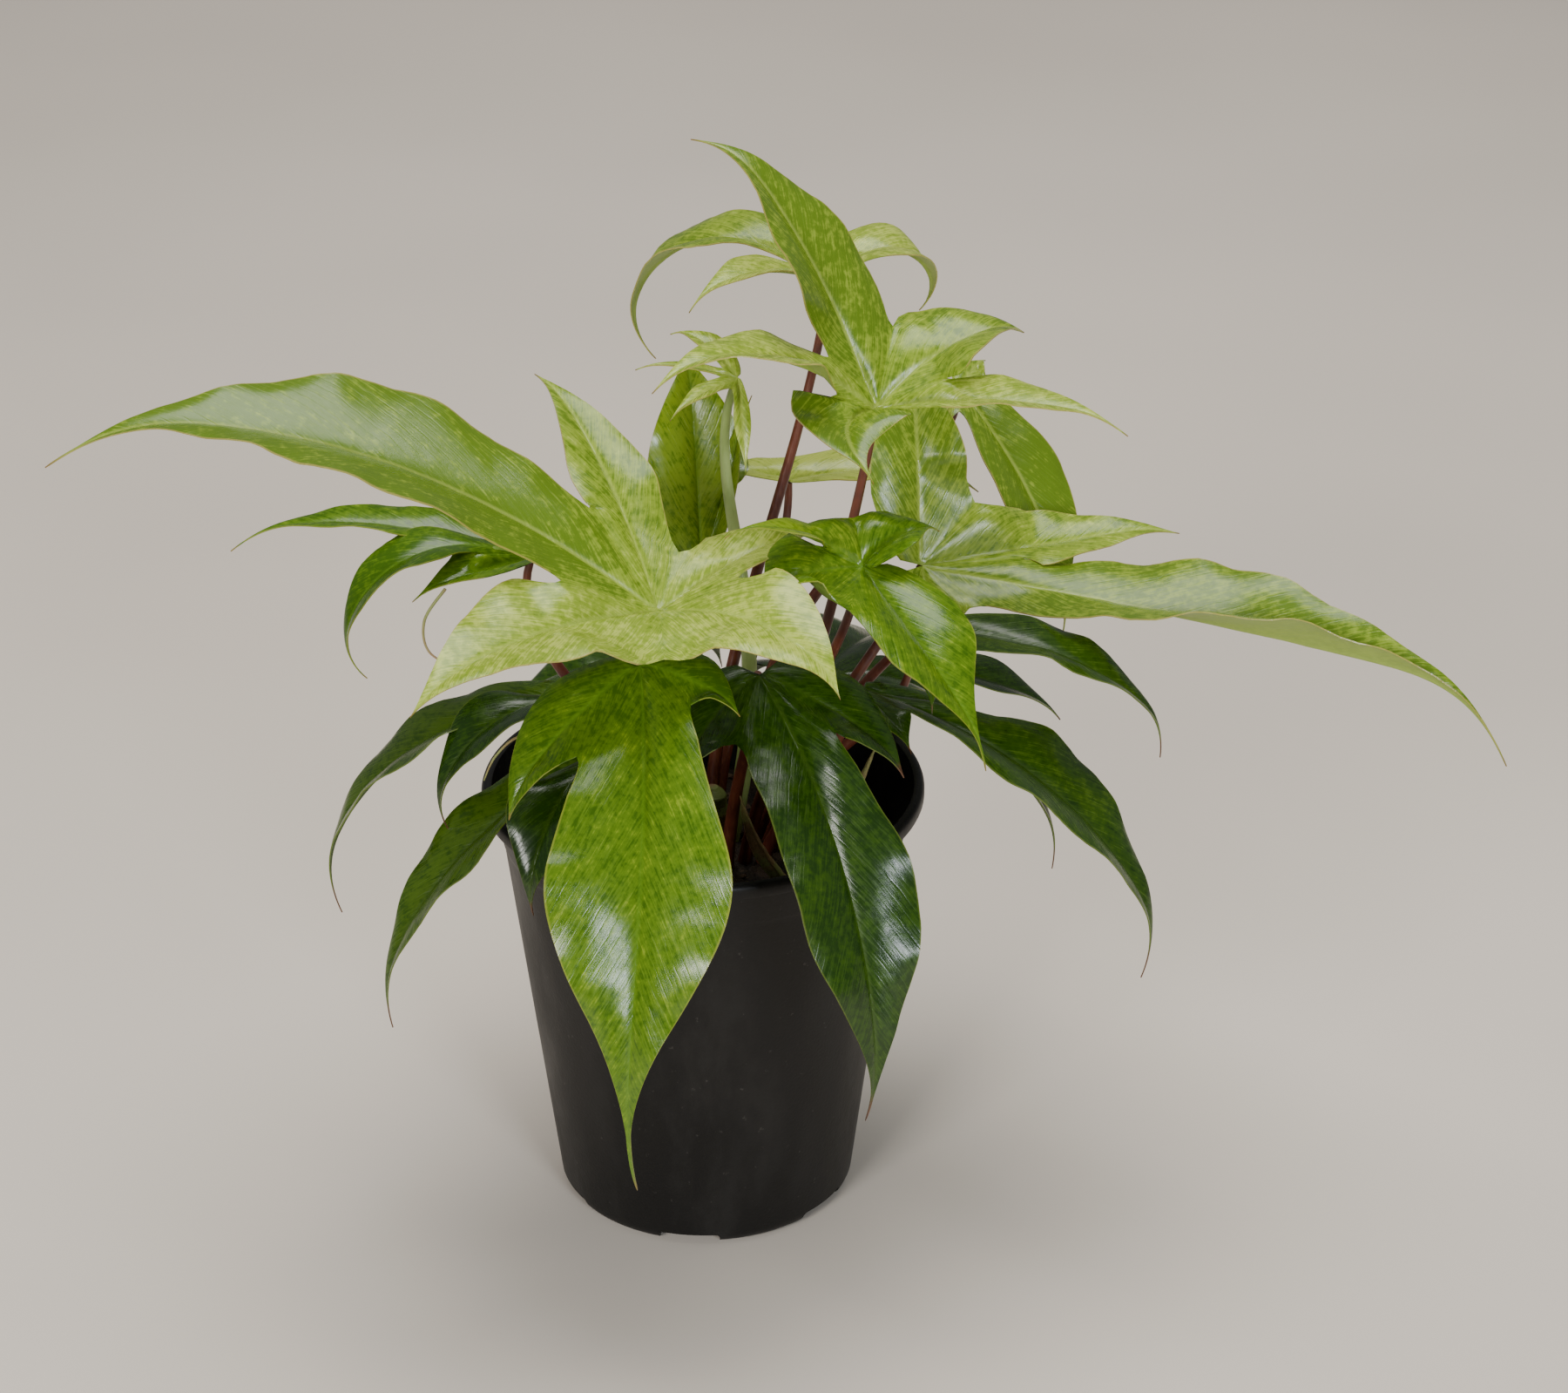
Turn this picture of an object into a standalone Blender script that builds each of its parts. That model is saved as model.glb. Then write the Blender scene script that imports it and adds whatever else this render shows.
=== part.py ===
"""Potted philodendron: a lobed-leaf plant in a 150 mm nursery pot.

The pot stands on z = 0 with its axis on the Z axis. Every leaf is a blade on a
petiole, and the petioles rise from the soil round one short stem.
"""

import math
from collections import namedtuple

import bmesh
import bpy
from mathutils import Matrix, Vector
from mathutils.bvhtree import BVHTree

MM = 0.001

# ---- Driving dimensions, in millimetres ----------------------------------
GAP = 0.3                     # kept between two pieces that touch

POT_HEIGHT = 155.0
LIP_RADIUS = 75.0             # outside of the rolled lip
LIP_DEPTH = 5.5               # height of the lip's outer face
LIP_INNER_RADIUS = 71.3
COLLAR_TOP_RADIUS = 70.2      # wall just under the lip
COLLAR_DEPTH = 18.0           # from the rim down to the collar's lower edge
COLLAR_STEP = 0.8             # how far the collar stands out from the wall
BASE_RADIUS = 51.5            # wall just above the rounded base edge
BASE_ROUND = 5.0              # radius of that edge
WALL = 1.6                    # wall thickness
FLOOR = 2.2                   # thickness of the pot's floor
POT_STEPS = 48                # facets round every turned piece

DRAIN_COUNT = 6
DRAIN_WIDTH = 21.0
DRAIN_HEIGHT = 4.2
DRAIN_REACH = 9.0             # how far each slot runs in from the edge
DRAIN_FIRST_ANGLE = -96.0     # degrees, the slot nearest the front

SOIL_EDGE_HEIGHT = 126.0      # where the soil meets the wall
SOIL_TOP_HEIGHT = 129.0       # where it is highest, near the stem

STEM_CENTRE = (3.0, 0.0)
STEM_RADIUS = 5.5
STEM_HEIGHT = 24.0

BLADE_THICKNESS = 0.7
PETIOLE_TOP_RADIUS = 1.5
PETIOLE_BASE_RADIUS = 2.3
PETIOLE_POINTS = 9

LOBE_ROWS = 8                 # strips from the hub to a lobe's tip
WEB_ROWS = 2                  # of these, the ones that join the next lobe
TAIL = 0.05                   # least half width, as a share of the widest
TAPER = 1.15                  # how fast a lobe narrows to its drip tip
HOOK_START = 0.72             # where along a lobe its tip starts to hook

# ---- Leaves ---------------------------------------------------------------
# Lobes go anticlockwise round the hub, seen from above. Lengths are in
# millimetres and angles in degrees. heading: 0 is +X and 90 is +Y. rise: the
# slope at the hub. droop: how much the slope falls by the tip. swing: how much
# the heading turns. roll: lifts the left side. hook: extra fall at the tip.
# fold: how far each half is raised from the midrib. widest: a share of length.
Lobe = namedtuple(
    "Lobe",
    "length width heading rise droop swing roll hook fold widest",
    defaults=(50, 0, 0, 20, 14, 0.42),
)

# hub: where the petiole meets the blade. base: the petiole's foot on the soil.
# lift: the first handle of the petiole's curve, from its foot. webs: distance
# from the hub to the notch between each two neighbouring lobes. arrive: the
# curve's last handle, from the hub, or None for one square to the blade.
Leaf = namedtuple(
    "Leaf", "hub base lift webs lobes colour arrive", defaults=(None,)
)

LEAVES = {
    "a": Leaf((-12, -60, 246), (2, -12), (0, -4, 60), (27, 20, 42, 38), (
        Lobe(76, 40, -28, 20, 60, -15),
        Lobe(68, 28, 30, 28, 40, 10),
        Lobe(98, 27, 115, 46, 22, 12),
        Lobe(208, 62, 174, 38, 46, 12, -8, 25, 18, 0.48),
        Lobe(102, 44, 222, 16, 35),
    ), "mint"),
    "b": Leaf((57, -10, 294), (16, 0), (18, -2, 50), (24, 28, 25, 14), (
        Lobe(86, 26, -20, 18, 30),
        Lobe(60, 40, 25, 45, 55),
        Lobe(110, 40, 146, 66, 25, 10, 0, 40),
        Lobe(92, 30, 205, 45, 62, 10),
        Lobe(48, 40, 220, 10, 40, 100, 0, 20, 14, 0.3),
    ), "mint"),
    "c": Leaf((42, 50, 315), (2, 14), (0, 14, 60), (16, 14), (
        Lobe(56, 30, 10, 50, 170, 10),
        Lobe(104, 30, 162, 36, 152, 5),
        Lobe(60, 22, 215, 30, 60),
    ), "mint"),
    "f": Leaf((-1, 50, 205), (-6, 14), (0, 6, 40), (30, 20), (
        Lobe(68, 16, 30, 70, -10, 10),
        Lobe(80, 34, 101, 82, 22, 0, 0, 20, 14, 0.5),
        Lobe(42, 14, 215, 45, 20),
    ), "green"),
    "g": Leaf((73, 20, 225), (22, 6), (10, 4, 40), (25, 34, 28), (
        Lobe(34, 34, -70, -35, 40),
        Lobe(214, 48, -17, -3, 10, 5, 0, 50),
        Lobe(92, 28, 14, 4, 0, 0, 15),
        Lobe(76, 34, 95, 78, 40),
    ), "mint"),
    "h": Leaf((88, 85, 263), (11, 23), (4, 10, 90), (12, 12), (
        Lobe(22, 14, -120, -20, 40),
        Lobe(98, 34, -45, -35, 45),
        Lobe(20, 12, 60, 20, 20),
    ), "mint"),
    "j": Leaf((75, -16, 219), (23, 0), (8, 4, 40), (20,), (
        Lobe(40, 20, -90, 0, 40),
        Lobe(98, 28, -8, 0, 58, 5, 0, 35),
    ), "dark", (-8, 22, -14)),
    "k": Leaf((52, -45, 255), (14, -8), (10, -6, 60), (16, 14, 30), (
        Lobe(32, 26, 30, 40, 60),
        Lobe(52, 14, 200, 45, 50),
        Lobe(37, 34, 215, 14, 20),
        Lobe(80, 32, 303, -22, 35, 18),
    ), "green"),
    "l": Leaf((-18, -62, 230), (-6, -14), (-2, -8, 40), (42, 27), (
        Lobe(64, 28, 220, -18, 35),
        Lobe(182, 57, 276, -32, 64, -25),
        Lobe(42, 22, 322, 6, 30),
    ), "green"),
    "m": Leaf((19, -45, 218), (8, -16), (2, -6, 40), (29, 34), (
        Lobe(44, 26, 215, -25, 50),
        Lobe(164, 42, 302, -30, 68, -10, 0, 20, 14, 0.5),
        Lobe(60, 30, 335, -12, 30),
    ), "dark"),
    "n": Leaf((52, -15, 197), (20, -8), (10, -4, 30), (20, 25), (
        Lobe(36, 22, -60, 0, 30),
        Lobe(152, 42, -18, -11, 66, 0, 0, 30),
        Lobe(104, 22, 2, -18, 60),
    ), "dark"),
    "o": Leaf((70, 18, 188), (25, 12), (10, 5, 30), (), (
        Lobe(62, 30, 8, -10, 30),
    ), "dark"),
    "p": Leaf((-56, 0, 237), (-12, 2), (-10, 0, 50), (14, 20), (
        Lobe(106, 22, 172, 17, 38),
        Lobe(96, 26, 200, 32, 145),
        Lobe(46, 22, 215, 5, 15),
    ), "green"),
    "q": Leaf((-33, -25, 199), (-14, -5), (-4, -4, 30), (20,), (
        Lobe(138, 30, 182, -2, 88),
        Lobe(82, 28, 205, 15, 110),
    ), "dark"),
    "r": Leaf((-32, -38, 186), (-12, -12), (-4, -8, 24), (20,), (
        Lobe(126, 30, 203, -20, 62),
        Lobe(70, 32, 242, 0, 90),
    ), "dark"),
    "s": Leaf((29, 75, 232), (4, 20), (2, 10, 40), (12,), (
        Lobe(68, 30, 0, 12, 30),
        Lobe(28, 16, 160, 10, 20),
    ), "mint"),
    "t": Leaf((12, 30, 289), (9, 8), (20, 6, 90), (5, 5, 5), (
        Lobe(30, 12, 150, 50, 60),
        Lobe(35, 7, 190, 20, 20),
        Lobe(32, 9, 225, 0, 20),
        Lobe(34, 6, 280, -50, 20),
    ), "mint"),
    "u": Leaf((-22, 45, 176), (-10, 10), (-2, 6, 20), (22, 24), (
        Lobe(56, 26, 55, 5, 60),
        Lobe(110, 40, 112, 5, 75),
        Lobe(58, 26, 175, 0, 60),
    ), "dark"),
    "v": Leaf((40, 42, 172), (17, 17), (4, 6, 20), (22, 24), (
        Lobe(52, 26, 10, 5, 60),
        Lobe(105, 38, 68, 5, 75),
        Lobe(56, 26, 125, 0, 60),
    ), "dark"),
}

# ---- Finishes: base colour, roughness, metallic ----------------------------
FINISHES = {
    "pot_plastic": ((0.035, 0.033, 0.032), 0.55, 0.0),
    "potting_soil": ((0.030, 0.022, 0.016), 0.95, 0.0),
    "stem_skin": ((0.20, 0.24, 0.08), 0.60, 0.0),
    "sheath_skin": ((0.34, 0.33, 0.17), 0.60, 0.0),
    "petiole_red": ((0.17, 0.035, 0.02), 0.45, 0.0),
    "petiole_green": ((0.30, 0.40, 0.12), 0.45, 0.0),
    "leaf_mint": ((0.48, 0.62, 0.16), 0.35, 0.0),
    "leaf_green": ((0.18, 0.38, 0.03), 0.32, 0.0),
    "leaf_dark": ((0.05, 0.14, 0.02), 0.30, 0.0),
}


# ---- Helpers ----------------------------------------------------------------
def make_material(name):
    colour, roughness, metallic = FINISHES[name]
    material = bpy.data.materials.new(name)
    material.use_nodes = True
    shader = material.node_tree.nodes["Principled BSDF"]
    shader.inputs["Base Color"].default_value = (*colour, 1.0)
    shader.inputs["Roughness"].default_value = roughness
    shader.inputs["Metallic"].default_value = metallic
    material.diffuse_color = (*colour, 1.0)
    return material


def add_object(name, data, collection, material=None):
    obj = bpy.data.objects.new(name, data)
    collection.objects.link(obj)
    if material is not None:
        data.materials.append(material)
    return obj


def turned(name, profile, collection, material):
    """A solid of revolution about Z, from (radius, height) points."""
    mesh = bpy.data.meshes.new(name)
    points = [(radius * MM, 0.0, height * MM) for radius, height in profile]
    edges = [(i, i + 1) for i in range(len(points) - 1)]
    mesh.from_pydata(points, edges, [])
    obj = add_object(name, mesh, collection, material)
    screw = obj.modifiers.new("Turn", "SCREW")
    screw.axis = "Z"
    screw.angle = math.tau
    screw.steps = POT_STEPS
    screw.render_steps = POT_STEPS
    screw.use_merge_vertices = True
    screw.merge_threshold = 0.00005
    return obj


def smoothstep(low, high, value):
    t = min(max((value - low) / (high - low), 0.0), 1.0)
    return t * t * (3.0 - 2.0 * t)


def bezier(p0, p1, p2, p3, t):
    s = 1.0 - t
    return p0 * s ** 3 + p1 * (3 * s * s * t) + p2 * (3 * s * t * t) + p3 * t ** 3


# ---- Pot and soil -----------------------------------------------------------
def wall_radius(height):
    """Outside radius of the plain wall at a height above the pot's base."""
    low = BASE_ROUND
    high = POT_HEIGHT - LIP_DEPTH
    top = COLLAR_TOP_RADIUS - COLLAR_STEP
    return BASE_RADIUS + (top - BASE_RADIUS) * (height - low) / (high - low)


def pot_profile():
    rim = POT_HEIGHT
    under = POT_HEIGHT - LIP_DEPTH
    collar = POT_HEIGHT - COLLAR_DEPTH
    profile = [
        (LIP_INNER_RADIUS, rim - 0.8),
        (LIP_INNER_RADIUS + 0.8, rim),
        (LIP_RADIUS - 1.4, rim),
        (LIP_RADIUS - 0.4, rim - 0.5),
        (LIP_RADIUS, rim - 1.5),
        (LIP_RADIUS, under),
        (LIP_RADIUS - 1.0, under - 0.4),
        (COLLAR_TOP_RADIUS, under),
        (wall_radius(collar) + COLLAR_STEP, collar),
        (wall_radius(collar - 0.8), collar - 0.8),
    ]
    for angle in (0, 30, 60, 90):
        a = math.radians(angle)
        x = wall_radius(BASE_ROUND) - BASE_ROUND + BASE_ROUND * math.cos(a)
        profile.append((x, BASE_ROUND - BASE_ROUND * math.sin(a)))
    profile.append((0.0, 0.0))
    profile.append((0.0, FLOOR))
    profile.append((wall_radius(FLOOR) - WALL - 3.0, FLOOR))
    profile.append((wall_radius(BASE_ROUND) - WALL - 0.6, BASE_ROUND))
    profile.append((wall_radius(BASE_ROUND + 4) - WALL, BASE_ROUND + 4))
    profile.append((wall_radius(collar) - WALL, collar))
    profile.append((LIP_INNER_RADIUS - 1.2, under - 1.0))
    profile.append(profile[0])
    return profile


def make_pot(parts, cutters, material):
    pot = turned("pot", pot_profile(), parts, material)
    for i in range(DRAIN_COUNT):
        angle = math.radians(DRAIN_FIRST_ANGLE + 360.0 * i / DRAIN_COUNT)
        reach = BASE_RADIUS - DRAIN_REACH / 2 + 4.0
        bpy.ops.mesh.primitive_cube_add(size=1.0)
        cutter = bpy.context.object
        cutter.name = f"drain_cutter_{i + 1}"
        depth = DRAIN_REACH + 8.0
        cutter.data.transform(scale_matrix(depth, DRAIN_WIDTH, DRAIN_HEIGHT * 2))
        cutter.location = (
            reach * math.cos(angle) * MM,
            reach * math.sin(angle) * MM,
            0.0,
        )
        cutter.rotation_euler = (0.0, 0.0, angle)
        for group in list(cutter.users_collection):
            group.objects.unlink(cutter)
        cutters.objects.link(cutter)
        cutter.hide_render = True
        cutter.display_type = "WIRE"
        edge = cutter.modifiers.new("Soft corners", "BEVEL")
        edge.width = 1.5 * MM
        edge.segments = 1
        cut = pot.modifiers.new(f"Drain {i + 1}", "BOOLEAN")
        cut.operation = "DIFFERENCE"
        cut.object = cutter
    return pot


def scale_matrix(x, y, z):
    return Matrix.Diagonal((x * MM, y * MM, z * MM, 1.0))


def make_soil(parts, material):
    inset = WALL + GAP
    low = BASE_ROUND + 4
    profile = [
        (0.0, SOIL_TOP_HEIGHT),
        (28.0, SOIL_TOP_HEIGHT),
        (50.0, SOIL_TOP_HEIGHT - 1.2),
        (wall_radius(SOIL_EDGE_HEIGHT) - inset, SOIL_EDGE_HEIGHT),
        (wall_radius(low) - inset, low),
        (wall_radius(low) - inset - 6.0, FLOOR + GAP),
        (0.0, FLOOR + GAP),
    ]
    return turned("soil", profile, parts, material)


# ---- Leaves -------------------------------------------------------------------
def lobe_direction(lobe, u):
    """Heading and pitch, in radians, at a share u of the lobe's length."""
    heading = math.radians(lobe.heading + lobe.swing * u)
    hook = lobe.hook * smoothstep(HOOK_START, 1.0, u)
    pitch = math.radians(lobe.rise - lobe.droop * u ** 1.3 - hook)
    return heading, pitch


def tangent(lobe, u):
    heading, pitch = lobe_direction(lobe, u)
    flat = math.cos(pitch)
    return Vector((flat * math.cos(heading), flat * math.sin(heading), math.sin(pitch)))


def frame(lobe, u):
    """Tangent, left side and upper normal of the blade at u."""
    heading, _ = lobe_direction(lobe, u)
    along = tangent(lobe, u)
    side = Vector((-math.sin(heading), math.cos(heading), 0.0))
    normal = along.cross(side)
    roll = math.radians(lobe.roll)
    left = side * math.cos(roll) + normal * math.sin(roll)
    up = normal * math.cos(roll) - side * math.sin(roll)
    return along, left, up


def spine_point(hub, lobe, u, steps=60):
    """Point on the midrib, found by walking along it from the hub."""
    point = hub.copy()
    count = max(1, round(steps * u))
    step = u / count
    for i in range(count):
        point += tangent(lobe, (i + 0.5) * step) * (lobe.length * step)
    return point


def half_width(lobe, u):
    t = max(0.0, (u - lobe.widest) / (1.0 - lobe.widest))
    shape = (0.5 + 0.5 * math.cos(math.pi * t)) ** TAPER
    return 0.5 * lobe.width * max(shape, TAIL * math.sqrt(max(0.0, 1.0 - t)))


def notch_point(hub, right_lobe, left_lobe, reach):
    """Bottom of the notch between two neighbouring lobes."""
    total = Vector((0.0, 0.0, 0.0))
    for lobe, sign in ((right_lobe, 1), (left_lobe, -1)):
        u = min(reach / lobe.length, 0.8)
        _, left, up = frame(lobe, u)
        fold = math.radians(lobe.fold)
        width = 0.375 * lobe.width
        total += spine_point(hub, lobe, u)
        total += left * (sign * width * math.cos(fold)) + up * (width * math.sin(fold))
    return hub + (total / 2 - hub).normalized() * reach


def lobe_rows(leaf, index):
    """Share of length at each row: the web's rows, then the free rows."""
    lobe = leaf.lobes[index]
    near = [leaf.webs[i] for i in (index - 1, index) if 0 <= i < len(leaf.webs)]
    joined = min(sum(near) / len(near) / lobe.length, 0.8) if near else 0.1
    free = LOBE_ROWS - WEB_ROWS
    rows = [joined * j / WEB_ROWS for j in range(WEB_ROWS + 1)]
    rows += [joined + (1.0 - joined) * j / free for j in range(1, free + 1)]
    return rows


def margin_point(hub, lobe, rows, j, sign, notch):
    """A lobe's edge at row j; sign is +1 on its left and -1 on its right."""
    u = rows[j]
    along, left, up = frame(lobe, u)
    fold = math.radians(lobe.fold)
    centre = spine_point(hub, lobe, u)
    width = half_width(lobe, u)
    lift = 0.0
    drift = 0.0
    if notch is None:
        if u < lobe.widest:
            width *= min(1.0, (u / (lobe.widest * 0.8)) ** 0.4)
    else:
        at = rows[WEB_ROWS]
        web_along, web_left, web_up = frame(lobe, at)
        offset = notch - spine_point(hub, lobe, at)
        start = 2.0
        if offset.dot(web_left) * sign > 0:
            start = abs(offset.dot(web_left)) / math.cos(fold)
        t = min((u - at) / max(lobe.widest - at, 0.12), 1.0)
        blend = t * t * (3.0 - 2.0 * t)
        if u < lobe.widest:
            width = start + (width - start) * blend
        lift = (offset.dot(web_up) - start * math.sin(fold)) * (1.0 - blend)
        drift = offset.dot(web_along) * (1.0 - blend) * (1.0 - t)
    point = centre + left * (sign * width * math.cos(fold))
    return point + up * (width * math.sin(fold) + lift) + along * drift


def make_blade(key, leaf, parts, material):
    hub = Vector(leaf.hub)
    bm = bmesh.new()
    hub_vert = bm.verts.new(hub * MM)
    notches = []
    seams = []
    for i, reach in enumerate(leaf.webs):
        right_lobe = leaf.lobes[i]
        left_lobe = leaf.lobes[i + 1]
        notch = notch_point(hub, right_lobe, left_lobe, reach)
        leave = (tangent(right_lobe, 0.0) + tangent(left_lobe, 0.0)).normalized()
        bend = hub + leave * (0.5 * reach)
        seam = []
        for j in range(1, WEB_ROWS + 1):
            t = j / WEB_ROWS
            point = hub * (1 - t) ** 2 + bend * (2 * t * (1 - t)) + notch * t * t
            seam.append(bm.verts.new(point * MM))
        notches.append(notch)
        seams.append(seam)

    for i, lobe in enumerate(leaf.lobes):
        rows = lobe_rows(leaf, i)
        edges = {}
        for sign, web in ((-1, i - 1), (1, i)):
            joined = 0 <= web < len(notches)
            notch = notches[web] if joined else None
            line = list(seams[web]) if joined else []
            for j in range(len(line) + 1, LOBE_ROWS):
                point = margin_point(hub, lobe, rows, j, sign, notch)
                line.append(bm.verts.new(point * MM))
            edges[sign] = line
        ribs = []
        for j in range(1, LOBE_ROWS):
            ribs.append(bm.verts.new(spine_point(hub, lobe, rows[j]) * MM))
        tip = bm.verts.new(spine_point(hub, lobe, 1.0) * MM)
        bm.faces.new((hub_vert, edges[-1][0], ribs[0]))
        bm.faces.new((hub_vert, ribs[0], edges[1][0]))
        for j in range(LOBE_ROWS - 2):
            bm.faces.new((ribs[j], edges[-1][j], edges[-1][j + 1], ribs[j + 1]))
            bm.faces.new((edges[1][j], ribs[j], ribs[j + 1], edges[1][j + 1]))
        bm.faces.new((ribs[-1], edges[-1][-1], tip))
        bm.faces.new((edges[1][-1], ribs[-1], tip))

    mesh = bpy.data.meshes.new(f"leaf_{key}_blade")
    bm.to_mesh(mesh)
    bm.free()
    mesh.shade_smooth()
    blade = add_object(mesh.name, mesh, parts, material)
    skin = blade.modifiers.new("Thickness", "SOLIDIFY")
    skin.thickness = BLADE_THICKNESS * MM
    skin.offset = 0.0
    return blade


def hub_normal(leaf):
    total = Vector((0.0, 0.0, 0.0))
    for lobe in leaf.lobes:
        total += frame(lobe, 0.0)[2]
    return total.normalized()


def petiole_end(blade, hub, down, radius):
    """First point down from the hub where the petiole clears the blade."""
    across = down.orthogonal().normalized()
    other = down.cross(across)
    bm = bmesh.new()
    bm.from_mesh(blade.data)
    tree = BVHTree.FromBMesh(bm)
    bm.free()
    clear = (GAP + BLADE_THICKNESS / 2 + 0.1) * MM
    back = 0.6
    while back < 12.0:
        centre = hub + down * back
        ring = [centre]
        for i in range(8):
            a = math.tau * i / 8
            rim = centre + (across * math.cos(a) + other * math.sin(a)) * radius
            ring.append(rim)
            ring.append(rim + down * 2.0)
        if all(tree.find_nearest(p * MM)[3] >= clear for p in ring):
            return centre
        back += 0.1
    return hub + down * back


def make_petiole(key, leaf, blade, parts, material):
    radius = PETIOLE_TOP_RADIUS
    hub = Vector(leaf.hub)
    down = -hub_normal(leaf) if leaf.arrive is None else Vector(leaf.arrive)
    top = petiole_end(blade, hub, down.normalized(), radius)
    lean = Vector(leaf.lift).normalized().xy.length
    foot = Vector((*leaf.base, SOIL_TOP_HEIGHT + GAP + PETIOLE_BASE_RADIUS * lean + 0.2))
    lift = foot + Vector(leaf.lift)
    reach = (top - foot).length * 0.3 if leaf.arrive is None else down.length
    arrive = top + down.normalized() * reach
    curve = bpy.data.curves.new(f"leaf_{key}_petiole", "CURVE")
    curve.dimensions = "3D"
    curve.bevel_depth = MM
    curve.bevel_resolution = 1
    curve.use_fill_caps = True
    spline = curve.splines.new("POLY")
    spline.points.add(PETIOLE_POINTS - 1)
    for i, point in enumerate(spline.points):
        t = i / (PETIOLE_POINTS - 1)
        place = bezier(foot, lift, arrive, top, t)
        point.co = (*(place * MM), 1.0)
        point.radius = PETIOLE_BASE_RADIUS + (radius - PETIOLE_BASE_RADIUS) * t ** 0.6
    return add_object(curve.name, curve, parts, material)


# ---- Stem and sheaths ----------------------------------------------------------
def make_stem(parts, material):
    x, y = STEM_CENTRE
    base = SOIL_TOP_HEIGHT + GAP
    profile = [
        (0.0, base + STEM_HEIGHT),
        (STEM_RADIUS * 0.45, base + STEM_HEIGHT - 0.8),
        (STEM_RADIUS * 0.75, base + STEM_HEIGHT * 0.75),
        (STEM_RADIUS * 0.8, base + STEM_HEIGHT * 0.5),
        (STEM_RADIUS * 0.95, base + STEM_HEIGHT * 0.46),
        (STEM_RADIUS, base + STEM_HEIGHT * 0.2),
        (STEM_RADIUS * 1.1, base),
        (0.0, base),
    ]
    stem = turned("stem", profile, parts, material)
    stem.modifiers["Turn"].steps = 16
    stem.modifiers["Turn"].render_steps = 16
    stem.location = (x * MM, y * MM, 0.0)
    return stem


# Papery sheaths left round the foot of the plant: foot, tip, width at the foot.
SHEATHS = {
    "sheath_front": ((26, -27), (13, -42, 171), 9.0),
    "sheath_right": ((37, -10), (58, -16, 176), 11.0),
    "sheath_back": ((-4, 24), (-16, 34, 168), 9.0),
}


def make_sheath(name, foot, tip, width, parts, material):
    base = Vector((*foot, SOIL_TOP_HEIGHT + GAP + 0.6))
    end = Vector(tip)
    across = (end - base).cross(Vector((0.0, 0.0, 1.0))).normalized()
    out = across.cross(end - base).normalized()
    bm = bmesh.new()
    rows = []
    count = 6
    for j in range(count):
        t = j / count
        bow = math.sin(math.pi * t) * 3.0
        centre = base.lerp(end, t) - out * bow
        half = 0.5 * width * (1.0 - t ** 1.6)
        row = []
        for k in range(-2, 3):
            a = k / 2 * 1.2
            point = centre + across * (half * math.sin(a)) + out * (half * math.cos(a))
            row.append(bm.verts.new(point * MM))
        rows.append(row)
    tip_vert = bm.verts.new(end * MM)
    for low, high in zip(rows, rows[1:]):
        for k in range(4):
            bm.faces.new((low[k], low[k + 1], high[k + 1], high[k]))
    for k in range(4):
        bm.faces.new((rows[-1][k], rows[-1][k + 1], tip_vert))
    mesh = bpy.data.meshes.new(name)
    bm.to_mesh(mesh)
    bm.free()
    mesh.shade_smooth()
    sheath = add_object(name, mesh, parts, material)
    skin = sheath.modifiers.new("Thickness", "SOLIDIFY")
    skin.thickness = BLADE_THICKNESS * MM
    skin.offset = 0.0
    return sheath


# ---- Build ------------------------------------------------------------------------
def main():
    for obj in list(bpy.data.objects):
        bpy.data.objects.remove(obj, do_unlink=True)
    parts = bpy.data.collections.new("potted_philodendron")
    cutters = bpy.data.collections.new("cutters")
    for group in (parts, cutters):
        bpy.context.scene.collection.children.link(group)
    materials = {name: make_material(name) for name in FINISHES}

    make_pot(parts, cutters, materials["pot_plastic"])
    make_soil(parts, materials["potting_soil"])
    make_stem(parts, materials["stem_skin"])
    for name, (foot, tip, width) in SHEATHS.items():
        make_sheath(name, foot, tip, width, parts, materials["sheath_skin"])
    for key, leaf in LEAVES.items():
        blade = make_blade(key, leaf, parts, materials[f"leaf_{leaf.colour}"])
        skin = "petiole_green" if key == "t" else "petiole_red"
        make_petiole(key, leaf, blade, parts, materials[skin])


main()
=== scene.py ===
import math
import random

import bpy
import numpy as np
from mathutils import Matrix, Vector, noise


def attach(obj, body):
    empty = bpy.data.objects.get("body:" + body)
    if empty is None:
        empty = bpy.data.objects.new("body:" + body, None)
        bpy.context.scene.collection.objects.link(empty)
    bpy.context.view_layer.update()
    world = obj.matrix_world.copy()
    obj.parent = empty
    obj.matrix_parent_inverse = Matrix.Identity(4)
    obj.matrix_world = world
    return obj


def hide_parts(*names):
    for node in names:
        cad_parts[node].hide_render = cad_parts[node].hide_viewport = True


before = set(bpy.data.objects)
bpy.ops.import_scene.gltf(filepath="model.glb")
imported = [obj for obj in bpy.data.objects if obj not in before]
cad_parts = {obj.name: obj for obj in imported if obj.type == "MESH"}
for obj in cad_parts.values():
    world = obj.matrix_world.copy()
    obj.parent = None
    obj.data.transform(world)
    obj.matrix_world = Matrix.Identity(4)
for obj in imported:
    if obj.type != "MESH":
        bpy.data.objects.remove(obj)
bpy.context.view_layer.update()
mm = 0.001
print("frame loaded")

# ---- camera and stage
view = {"place": (0.0274, -1.2, 0.795), "down": 26.9, "lens": 92.18}

bpy.ops.object.camera_add(
    location=view["place"], rotation=(math.radians(90 - view["down"]), 0, 0)
)
camera = bpy.context.object
camera.name = "camera"
camera.data.lens = view["lens"]
camera.data.sensor_width = 36
bpy.context.scene.camera = camera


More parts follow.
